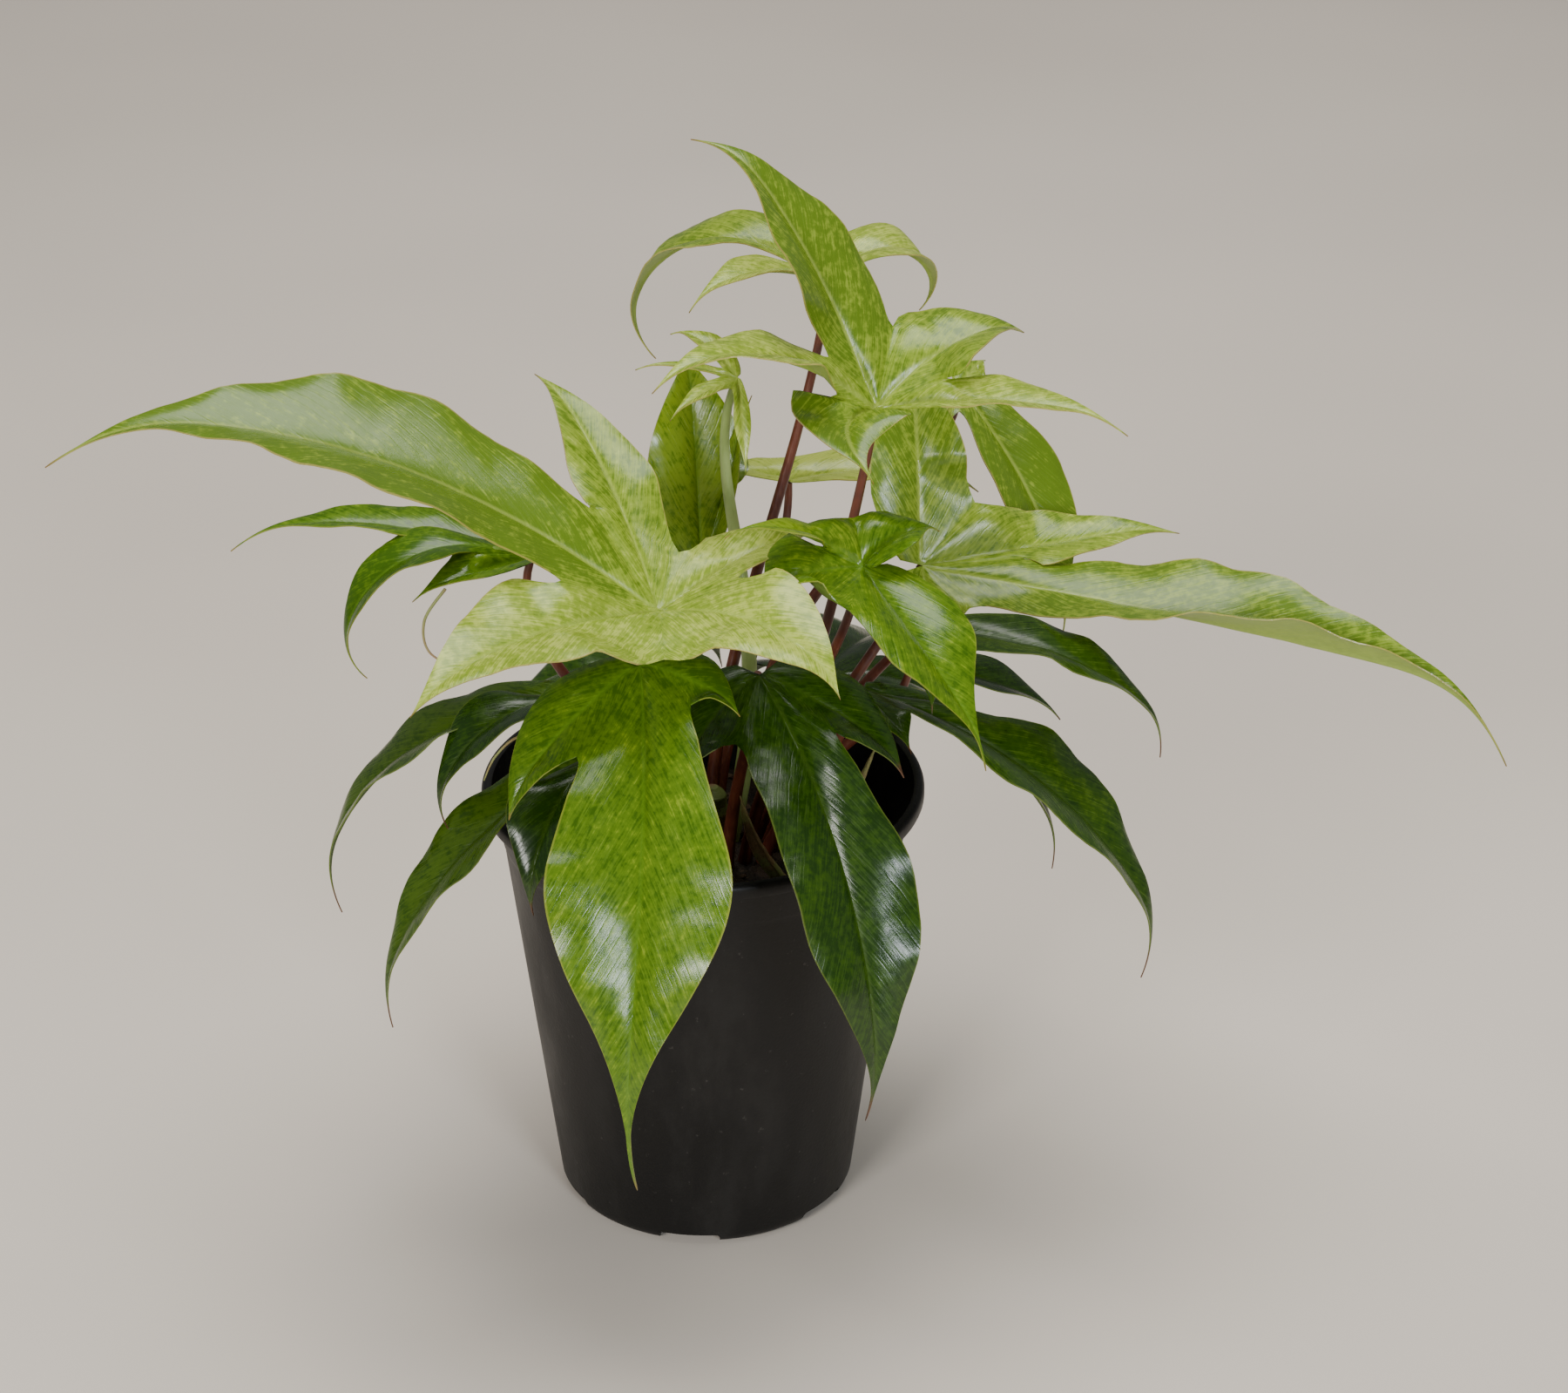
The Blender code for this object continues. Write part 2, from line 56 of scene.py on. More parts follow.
def newNode(tree, kind, inputs=None, **settings):
    made = tree.nodes.new(kind)
    for key, value in settings.items():
        setattr(made, key, value)
    for key, value in (inputs or {}).items():
        if isinstance(value, bpy.types.NodeSocket):
            tree.links.new(value, made.inputs[key])
        else:
            made.inputs[key].default_value = value
    return made


def calc(tree, operation, first, second=0.0, third=0.0):
    inputs = {0: first, 1: second, 2: third}
    return newNode(tree, "ShaderNodeMath", inputs, operation=operation).outputs[0]


def ease(tree, value, low, high, start=0.0, end=1.0):
    # smooth change from start to end while value goes from low to high
    made = newNode(
        tree, "ShaderNodeMapRange",
        {"Value": value, "From Min": low, "From Max": high, "To Min": start, "To Max": end},
        interpolation_type="SMOOTHSTEP",
    )
    return made.outputs["Result"]


def blendColour(tree, share, first, second):
    made = newNode(tree, "ShaderNodeMix", data_type="RGBA")
    for index, value in ((0, share), (6, first), (7, second)):
        socket = made.inputs[index]
        if isinstance(value, bpy.types.NodeSocket):
            tree.links.new(value, socket)
        elif isinstance(value, (int, float)):
            socket.default_value = value
        else:
            socket.default_value = (*value, 1.0)
    return made.outputs[2]


def newMaterial(name, settings):
    material = bpy.data.materials.new(name)
    material.use_nodes = True
    tree = material.node_tree
    shader = tree.nodes["Principled BSDF"]
    for key, value in settings.items():
        shader.inputs[key].default_value = value
    return material, tree, shader


def addNoise(tree, vector, scale, detail=3.0, roughness=0.55):
    # a scale of three numbers stretches the noise along the object's axes
    if isinstance(scale, tuple):
        vector = newNode(tree, "ShaderNodeMapping", {"Vector": vector, "Scale": scale}).outputs[0]
        scale = 1.0
    made = newNode(
        tree, "ShaderNodeTexNoise",
        {"Vector": vector, "Scale": scale, "Detail": detail, "Roughness": roughness},
    )
    return made.outputs[0]


def addBump(tree, shader, height, distance, strength):
    made = newNode(
        tree, "ShaderNodeBump", {"Height": height, "Distance": distance, "Strength": strength}
    )
    tree.links.new(made.outputs[0], shader.inputs["Normal"])


def objectPoint(tree):
    return newNode(tree, "ShaderNodeTexCoord").outputs["Object"]


def layeredSkin(name, look):
    # base blends low and high, and over lies on them where the layer noise is high
    material, tree, shader = newMaterial(name, {"Specular IOR Level": look["gloss"]})
    place = objectPoint(tree)
    kinds = [key for key in ("base", "layer", "grain") if key in look]
    noises = {key: addNoise(tree, place, *look[key]) for key in kinds}
    share = ease(tree, noises["base"], *look["blend"])
    colour = blendColour(tree, share, look["low"], look["high"])
    share = ease(tree, noises["layer"], *look["overBlend"])
    colour = blendColour(tree, share, colour, look["over"])
    tree.links.new(colour, shader.inputs["Base Color"])
    roughness = ease(tree, noises[look.get("roughBy", "layer")], *look["rough"])
    tree.links.new(roughness, shader.inputs["Roughness"])
    addBump(tree, shader, noises[look.get("bumpBy", "layer")], *look["bump"])
    return material


stage = {
    "size": 40.0, "colour": (0.72, 0.65, 0.57), "shade": 0.93,
    "room": (0.80, 0.80, 0.80, 1), "roomLight": 0.24,
}

bpy.ops.object.select_all(action="DESELECT")
bpy.ops.mesh.primitive_plane_add(size=stage["size"])
floor = bpy.context.object
floor.name = "floor"
material, tree, shader = newMaterial("pale paper", {"Roughness": 0.8, "Specular IOR Level": 0.25})
cloud = addNoise(tree, objectPoint(tree), 2.2, 2.0)
shade = [part * stage["shade"] for part in stage["colour"]]
tone = blendColour(tree, ease(tree, cloud, 0.3, 0.7), stage["colour"], shade)
tree.links.new(tone, shader.inputs["Base Color"])
floor.data.materials.append(material)

# lights: place, point looked at, width, height, power, colour
lights = {
    "windowLeft": ((-1.1, -2.0, 1.15), (0, 0, 0.2), 0.75, 0.6, 36, (1.0, 0.98, 0.95)),
    "windowRight": ((0.95, -2.1, 0.85), (0, 0, 0.15), 0.5, 0.55, 26, (0.88, 0.94, 1.0)),
    "skyLight": ((0.1, 0.1, 2.3), (0, 0, 0.2), 1.6, 1.4, 50, (1.0, 0.98, 0.94)),
}
for name, (place, target, width, height, power, colour) in lights.items():
    aim = (Vector(target) - Vector(place)).to_track_quat("-Z", "Y").to_euler()
    bpy.ops.object.light_add(type="AREA", location=place, rotation=aim)
    light = bpy.context.object
    light.name = name
    light.data.shape = "RECTANGLE"
    light.data.size, light.data.size_y = width, height
    light.data.energy = power
    light.data.color = colour
world = bpy.data.worlds.new("room light")
bpy.context.scene.world = world
world.use_nodes = True
background = world.node_tree.nodes["Background"]
background.inputs["Color"].default_value = stage["room"]
background.inputs["Strength"].default_value = stage["roomLight"]
print("camera, lights and floor ready")

# ---- leaf skins
# pale and green are the two colours of the mottling, mid lies between them
leafTones = {
    "mint": {
        "pale": (0.41, 0.49, 0.080), "mid": (0.215, 0.305, 0.024),
        "green": (0.092, 0.165, 0.007),
        "vein": (0.15, 0.25, 0.02), "rib": (0.36, 0.45, 0.08), "edge": (0.36, 0.30, 0.08),
        "under": (0.27, 0.36, 0.065), "tip": (0.20, 0.12, 0.03), "tipStart": 0.985,
        "level": 0.54, "spread": 0.13, "rough": 0.24,
    },
    "green": {
        "pale": (0.185, 0.275, 0.012), "mid": (0.082, 0.162, 0.003),
        "green": (0.036, 0.092, 0.0015),
        "vein": (0.04, 0.11, 0.003), "rib": (0.10, 0.20, 0.010), "edge": (0.24, 0.27, 0.03),
        "under": (0.15, 0.24, 0.03), "tip": (0.22, 0.16, 0.03), "tipStart": 0.975,
        "level": 0.52, "spread": 0.13, "rough": 0.19,
    },
    "dark": {
        "pale": (0.054, 0.106, 0.007), "mid": (0.023, 0.060, 0.0022),
        "green": (0.0095, 0.032, 0.0012),
        "vein": (0.012, 0.038, 0.002), "rib": (0.042, 0.085, 0.009), "edge": (0.11, 0.15, 0.02),
        "under": (0.075, 0.125, 0.02), "tip": (0.10, 0.045, 0.02), "tipStart": 0.93,
        "level": 0.53, "spread": 0.13, "rough": 0.20,
    },
}
# lengths in metres, scales and shares of the skins' patterns
veins = {
    "slope": 1.9, "spacing": 0.0068, "width": 0.11, "share": 0.16,
    "ribInner": 0.0003, "ribOuter": 0.0012, "ribShare": 0.5, "edgeShare": 0.7,
    "bump": 0.00035, "bumpStrength": 0.30,
}
mottle = {
    "streakFine": 760.0, "streakLong": 220.0, "patchScale": 110.0, "speckScale": 420.0,
    "streakShare": 0.42, "patchShare": 0.20, "speckShare": 0.38, "paleShare": 0.42,
    "backShare": 0.72, "backRough": 0.5, "roughLess": 0.07, "roughMore": 0.10,
}


def leafSkin(name, tone, under=False):
    material, tree, shader = newMaterial(name, {"Specular IOR Level": 0.5, "IOR": 1.45})
    flow = newNode(tree, "ShaderNodeUVMap", uv_map="veinMap").outputs[0]
    shape = newNode(tree, "ShaderNodeUVMap", uv_map="shapeMap").outputs[0]
    flowParts = newNode(tree, "ShaderNodeSeparateXYZ", {0: flow}).outputs
    shapeParts = newNode(tree, "ShaderNodeSeparateXYZ", {0: shape}).outputs
    across = calc(tree, "ABSOLUTE", flowParts[0])
    side = calc(tree, "SIGN", flowParts[0])
    # lines of equal value run from the midrib forwards to the edge, as side veins do
    line = calc(tree, "MULTIPLY_ADD", across, -veins["slope"], flowParts[1])
    streakPoint = newNode(tree, "ShaderNodeCombineXYZ", {
        0: calc(tree, "MULTIPLY", line, mottle["streakFine"]),
        1: calc(tree, "MULTIPLY", across, mottle["streakLong"]),
        2: calc(tree, "MULTIPLY", side, 4.7),
    }).outputs[0]
    streak = addNoise(tree, streakPoint, 1.0, 5.0, 0.62)
    place = objectPoint(tree)
    patch = addNoise(tree, place, mottle["patchScale"], 4.0, 0.6)
    speck = addNoise(tree, place, mottle["speckScale"], 3.0, 0.6)
    # each lobe's paleness is partly its own colour and partly painted light and shade, and it
    # shifts the mottling towards the pale colour
    palenessAndLight = newNode(tree, "ShaderNodeAttribute", attribute_name="palenessAndLight").outputs["Fac"]
    blotch = calc(tree, "MULTIPLY", patch, mottle["patchShare"])
    blotch = calc(tree, "MULTIPLY_ADD", streak, mottle["streakShare"], blotch)
    blotch = calc(tree, "MULTIPLY_ADD", speck, mottle["speckShare"], blotch)
    shift = calc(tree, "MULTIPLY_ADD", palenessAndLight, mottle["paleShare"], -0.5 * mottle["paleShare"])
    blotch = calc(tree, "ADD", blotch, shift)
    low, high = tone["level"] - tone["spread"], tone["level"] + tone["spread"]
    lower = ease(tree, blotch, low, tone["level"])
    upper = ease(tree, blotch, tone["level"], high)
    colour = blendColour(tree, lower, tone["green"], tone["mid"])
    colour = blendColour(tree, upper, colour, tone["pale"])
    # side veins
    wobble = calc(tree, "MULTIPLY_ADD", patch, 0.5, calc(tree, "DIVIDE", line, veins["spacing"]))
    wave = calc(tree, "PINGPONG", wobble, 0.5)
    veinLine = ease(tree, wave, 0.0, veins["width"], 1.0, 0.0)
    share = calc(tree, "MULTIPLY", veinLine, veins["share"])
    colour = blendColour(tree, share, colour, tone["vein"])
    # midrib, then the thin edge and the dry tip
    rib = ease(tree, across, veins["ribInner"], veins["ribOuter"], 1.0, 0.0)
    rib = calc(tree, "MULTIPLY", rib, veins["ribShare"])
    colour = blendColour(tree, rib, colour, tone["rib"])
    edge = ease(tree, shapeParts[0], 0.965, 0.995)
    edge = calc(tree, "MULTIPLY", edge, veins["edgeShare"])
    colour = blendColour(tree, edge, colour, tone["edge"])
    tip = ease(tree, shapeParts[1], tone["tipStart"] - 0.03, tone["tipStart"] + 0.02)
    colour = blendColour(tree, tip, colour, tone["tip"])
    rough = tone["rough"]
    if under:
        colour = blendColour(tree, mottle["backShare"], colour, tone["under"])
        rough = mottle["backRough"]
    tree.links.new(colour, shader.inputs["Base Color"])
    low, high = rough - mottle["roughLess"], rough + mottle["roughMore"]
    tree.links.new(ease(tree, streak, 0.25, 0.75, low, high), shader.inputs["Roughness"])
    relief = calc(tree, "MULTIPLY_ADD", streak, 0.6, calc(tree, "MULTIPLY", veinLine, -0.25))
    relief = calc(tree, "MULTIPLY_ADD", speck, 0.35, relief)
    addBump(tree, shader, relief, veins["bump"], veins["bumpStrength"])
    return material


skins = {}
for toneName, tone in leafTones.items():
    skins[toneName] = (
        leafSkin(f"{toneName} leaf top", tone), leafSkin(f"{toneName} leaf back", tone, under=True)
    )
print("leaf skins ready")


# ---- leaf blades
# pale: how pale a lobe's mottling is. It is partly the lobe's own colour and partly painted light
# and shade: lobes that catch the light are set paler, lobes in the shade of other leaves darker
def lobe(length, width, heading, rise, droop=50, swing=0, roll=0, hook=20, fold=14,
         widest=0.42, pale=0.5, taper=1.15, curl=0):
    return {
        "length": length, "width": width, "heading": heading, "rise": rise, "droop": droop,
        "swing": swing, "roll": roll, "hook": hook, "fold": fold, "widest": widest, "pale": pale,
        "taper": taper, "curl": curl,
    }


# hub: where the stalk meets the blade, in millimetres. base and lift: the stalk's foot and
# the way it leaves the soil. webs: from the hub to each notch between two lobes. apron: how
# far the last notch is moved. arrive: the way the stalk comes to the hub.
leaves = {
    "A": {"hub": (-12, -60, 246), "base": (2, -12), "lift": (0, -4, 60),
          "webs": (27, 20, 42, 38, 27), "apron": (0, -6, -9),
          "tone": "mint", "lobes": [
              lobe(76, 40, -28, 20, 60, -15, roll=18, pale=0.75, taper=0.85),
              lobe(68, 28, 30, 28, 40, 10, pale=0.8, taper=0.9),
              lobe(98, 29, 115, 46, 22, 12, pale=0.5, taper=0.8),
              lobe(208, 62, 174, 38, 46, 12, -8, 25, 18, 0.48, pale=0.28),
              lobe(102, 44, 222, 16, 35, roll=-12, pale=0.7, taper=0.8)]},
    "B": {"hub": (57, -10, 294), "base": (16, 0), "lift": (18, -2, 50), "webs": (24, 28, 25, 14),
          "tone": "mint", "lobes": [
              lobe(86, 26, -20, 18, 30, pale=0.7),
              lobe(60, 42, 25, 45, 55, pale=0.5, taper=0.6),
              lobe(110, 41, 146, 66, 25, 10, 0, 40, pale=0.34, taper=0.9),
              lobe(92, 30, 205, 45, 62, 10, pale=0.7, taper=0.85),
              lobe(48, 40, 220, 10, 40, 100, 0, 20, 14, 0.3, pale=0.3)]},
    "C": {"hub": (42, 50, 315), "base": (2, 14), "lift": (0, 14, 60), "webs": (16, 14),
          "tone": "mint", "lobes": [
              lobe(56, 30, 10, 50, 170, 10, pale=0.8),
              lobe(104, 30, 162, 36, 152, 5, pale=0.5),
              lobe(60, 22, 215, 30, 60, pale=0.75)]},
    "F": {"hub": (-1, 50, 205), "base": (-6, 14), "lift": (0, 6, 40), "webs": (30, 20),
          "tone": "green", "lobes": [
              lobe(68, 16, 30, 70, -10, 10, pale=0.8),
              lobe(80, 36, 101, 82, 22, 0, 0, 20, 14, 0.5, pale=0.8, taper=0.6),
              lobe(42, 14, 215, 45, 20, pale=0.4)]},
    "G": {"hub": (73, 20, 225), "base": (22, 6), "lift": (10, 4, 40), "webs": (25, 34, 28),
          "tone": "mint", "lobes": [
              lobe(34, 34, -70, -35, 40, pale=0.7),
              lobe(214, 48, -17, -3, 10, 5, 0, 50, pale=0.4, curl=38),
              lobe(92, 28, 14, 4, 0, 0, 15, pale=0.55, taper=0.8),
              lobe(76, 34, 95, 78, 40, pale=0.4, taper=0.8)]},
    "H": {"hub": (88, 85, 263), "base": (11, 23), "lift": (4, 10, 90), "webs": (12, 12),
          "tone": "mint", "lobes": [
              lobe(22, 14, -120, -20, 40, pale=0.6),
              lobe(98, 34, -45, -35, 45, pale=0.25),
              lobe(20, 12, 60, 20, 20, pale=0.6)]},
    "J": {"hub": (75, -16, 219), "base": (23, 0), "lift": (8, 4, 40), "webs": (20,),
          "tone": "dark", "arrive": (-8, 22, -14), "lobes": [
              lobe(40, 20, -90, 0, 40, pale=0.6),
              lobe(98, 28, -8, 0, 58, 5, 0, 35, pale=0.6)]},
    "K": {"hub": (52, -45, 255), "base": (14, -8), "lift": (10, -6, 60), "webs": (16, 14, 30),
          "tone": "green", "lobes": [
              lobe(32, 26, 30, 40, 60, pale=0.4),
              lobe(52, 14, 200, 45, 50, pale=0.8),
              lobe(37, 40, 215, 14, 20, pale=0.5, taper=0.45),
              lobe(80, 37, 303, -22, 35, 18, pale=0.5, taper=1.6)]},
    "L": {"hub": (-18, -62, 230), "base": (-6, -14), "lift": (-2, -8, 40), "webs": (42, 27),
          "tone": "green", "lobes": [
              lobe(68, 30, 220, -18, 35, pale=0.45, taper=0.7),
              lobe(182, 60, 276, -32, 64, -25, pale=0.5, taper=1.9),
              lobe(42, 22, 322, 6, 30, pale=0.3, taper=0.8)]},
    "M": {"hub": (19, -45, 218), "base": (8, -16), "lift": (2, -6, 40), "webs": (29, 34),
          "tone": "dark", "lobes": [
              lobe(44, 28, 215, -25, 50, pale=0.5, taper=0.7),
              lobe(164, 43, 302, -30, 68, -10, 0, 20, 14, 0.5, pale=0.42, taper=1.4),
              lobe(60, 32, 335, -12, 30, pale=0.5, taper=0.8)]},
    "N": {"hub": (52, -15, 197), "base": (20, -8), "lift": (10, -4, 30), "webs": (20, 25),
          "tone": "dark", "lobes": [
              lobe(36, 22, -60, 0, 30, pale=0.6),
              lobe(152, 42, -18, -11, 66, 0, 0, 30, pale=0.6),
              lobe(104, 22, 2, -18, 60, pale=0.5)]},
    "O": {"hub": (70, 18, 188), "base": (25, 12), "lift": (10, 5, 30), "webs": (),
          "tone": "dark", "lobes": [
              lobe(62, 30, 8, -10, 30, pale=0.45)]},
    "P": {"hub": (-56, 0, 237), "base": (-12, 2), "lift": (-10, 0, 50), "webs": (14, 20),
          "tone": "green", "lobes": [
              lobe(106, 22, 172, 17, 38, pale=0.45),
              lobe(96, 26, 200, 32, 145, pale=0.3),
              lobe(46, 22, 215, 5, 15, pale=0.5)]},
    "Q": {"hub": (-33, -25, 199), "base": (-14, -5), "lift": (-4, -4, 30), "webs": (20,),
          "tone": "dark", "lobes": [
              lobe(138, 30, 182, -2, 88, pale=0.8),
              lobe(82, 28, 205, 15, 110, pale=0.4)]},
    "R": {"hub": (-32, -38, 186), "base": (-12, -12), "lift": (-4, -8, 24), "webs": (20,),
          "tone": "dark", "lobes": [
              lobe(126, 30, 203, -20, 62, pale=0.8),
              lobe(70, 32, 242, 0, 90, pale=0.35)]},
    "S": {"hub": (29, 75, 232), "base": (4, 20), "lift": (2, 10, 40), "webs": (12,),
          "tone": "mint", "lobes": [
              lobe(68, 30, 0, 12, 30, pale=0.9, taper=0.8),
              lobe(28, 16, 160, 10, 20, pale=0.9)]},
    "T": {"hub": (12, 30, 289), "base": (9, 8), "lift": (20, 6, 90), "webs": (5, 5, 5),
          "tone": "mint", "stalk": (3.2, 1.3), "lobes": [
              lobe(30, 12, 150, 50, 60, pale=0.7),
              lobe(35, 7, 190, 20, 20, pale=0.6),
              lobe(32, 9, 225, 0, 20, pale=0.7),
              lobe(34, 6, 280, -50, 20, pale=0.7)]},
    "U": {"hub": (-22, 45, 176), "base": (-10, 10), "lift": (-2, 6, 20), "webs": (22, 24),
          "tone": "dark", "lobes": [
              lobe(56, 26, 55, 5, 60, pale=0.5),
              lobe(110, 40, 112, 5, 75, pale=0.5),
              lobe(58, 26, 175, 0, 60, pale=0.5)]},
    "V": {"hub": (40, 42, 172), "base": (17, 17), "lift": (4, 6, 20), "webs": (22, 24),
          "tone": "dark", "lobes": [
              lobe(52, 26, 10, 5, 60, pale=0.5),
              lobe(105, 38, 68, 5, 75, pale=0.5),
              lobe(56, 26, 125, 0, 60, pale=0.5)]},
}
blade = {
    "rowLength": 2.0,        # millimetres between rows of faces
    "across": 12,            # faces from the midrib to the edge
    "webRows": 10,           # rows in the joined part round the hub
    "tail": 0.05,            # least half width, as a share of the widest
    "hookStart": 0.72,
    "puff": 0.035,           # how far each half swells, as a share of its width
    "ripple": 1.1,           # height of the waves along the edge, in millimetres
    "rippleLength": 31.0,
    "quilt": 0.05,           # swelling between side veins, in millimetres
    "pucker": 0.55,          # uneven surface, in millimetres
    "thickness": 0.42,
    "ribDepth": 0.8,         # the midrib's ridge under the blade
    "ribGroove": 0.30,       # its groove on top
    "ribWidth": 0.9,
    "columnEase": 1.45,      # brings columns closer to the midrib
    "webFade": 14.0,         # rows in which the joined shape dies out
    "freeFade": 8.0,         # rows in which the edge waves begin
    "fullSize": 14.0,        # half width that has waves of full height
    "seamReach": 7.0,        # how far round a notch the mesh is smoothed
    "smoothing": 14,
    "sharpAngle": 60.0,
}


def smoothStep(low, high, value):
    share = min(max((value - low) / (high - low), 0.0), 1.0)
    return share * share * (3.0 - 2.0 * share)


def lobeFrame(shape, u):
    # directions along the midrib, to its left and square to the blade, at a share u
    heading = math.radians(shape["heading"] + shape["swing"] * u)
    hook = shape["hook"] * smoothStep(blade["hookStart"], 1.0, u)
    pitch = math.radians(shape["rise"] - shape["droop"] * u ** 1.3 - hook)
    flat = math.cos(pitch)
    along = Vector((flat * math.cos(heading), flat * math.sin(heading), math.sin(pitch)))
    side = Vector((-math.sin(heading), math.cos(heading), 0.0))
    normal = along.cross(side)
    roll = math.radians(shape["roll"])
    left = side * math.cos(roll) + normal * math.sin(roll)
    up = normal * math.cos(roll) - side * math.sin(roll)
    return along, left, up


def spinePoint(hub, shape, u):
    point = hub.copy()
    count = max(1, round(60 * u))
    for i in range(count):
        point += lobeFrame(shape, (i + 0.5) * u / count)[0] * (shape["length"] * u / count)
    return point


def halfWidth(shape, u):
    t = max(0.0, (u - shape["widest"]) / (1.0 - shape["widest"]))
    share = (0.5 + 0.5 * math.cos(math.pi * t)) ** shape["taper"]
    return 0.5 * shape["width"] * max(share, blade["tail"] * math.sqrt(max(0.0, 1.0 - t)))


def notchPoint(hub, rightLobe, leftLobe, reach):
    total = Vector()
    for shape, sign in ((rightLobe, 1), (leftLobe, -1)):
        u = min(reach / shape["length"], 0.8)
        _, left, up = lobeFrame(shape, u)
        fold = math.radians(shape["fold"])
        width = 0.375 * shape["width"]
        total += spinePoint(hub, shape, u)
        total += left * (sign * width * math.cos(fold)) + up * (width * math.sin(fold))
    return hub + (total / 2 - hub).normalized() * reach


def edgePoint(hub, shape, joined, u, sign, notch, centre):
    # a lobe's edge at u: sign is +1 on its left and -1 on its right
    along, left, up = lobeFrame(shape, u)
    fold = math.radians(shape["fold"] + shape["curl"] * smoothStep(0.25, 0.7, u))
    width = halfWidth(shape, u)
    lift = drift = 0.0
    if notch is None:
        if u < shape["widest"]:
            width *= min(1.0, (u / (shape["widest"] * 0.8)) ** 0.4)
    else:
        webAlong, webLeft, webUp = lobeFrame(shape, joined)
        offset = notch - spinePoint(hub, shape, joined)
        start = 2.0
        if offset.dot(webLeft) * sign > 0:
            start = abs(offset.dot(webLeft)) / math.cos(fold)
        t = min((u - joined) / max(shape["widest"] - joined, 0.12), 1.0)
        share = t * t * (3.0 - 2.0 * t)
        if u < shape["widest"]:
            width = start + (width - start) * share
        lift = (offset.dot(webUp) - start * math.sin(fold)) * (1.0 - share)
        drift = offset.dot(webAlong) * (1.0 - share) * (1.0 - t)
    point = centre + left * (sign * width * math.cos(fold))
    return point + up * (width * math.sin(fold) + lift) + along * drift


def lobeRows(shape, hub, joined, rows, beside, seams, notches):
    # row by row: midrib, left edge, right edge, up direction and share of the length
    webRows = blade["webRows"]
    found = []
    centre = hub.copy()
    last = 0.0
    for j in range(rows + 1):
        u = joined * j / webRows
        if j > webRows:
            u = joined + (1 - joined) * (j - webRows) / (rows - webRows)
        for k in range(4 if j else 0):
            step = (u - last) / 4
            along = lobeFrame(shape, last + (k + 0.5) * step)[0]
            centre = centre + along * (shape["length"] * step)
        last = u
        ends = {}
        for sign, web in beside:
            hasWeb = web < len(notches)
            if hasWeb and j <= webRows:
                ends[sign] = seams[web][j]
            elif j == 0:
                ends[sign] = hub
            elif j == rows:
                ends[sign] = centre
            else:
                notch = notches[web] if hasWeb else None
                ends[sign] = edgePoint(hub, shape, joined, u, sign, notch, centre)
        found.append((centre[:], ends[1][:], ends[-1][:], lobeFrame(shape, u)[2][:], u))
    return [np.array(part) for part in zip(*found)]


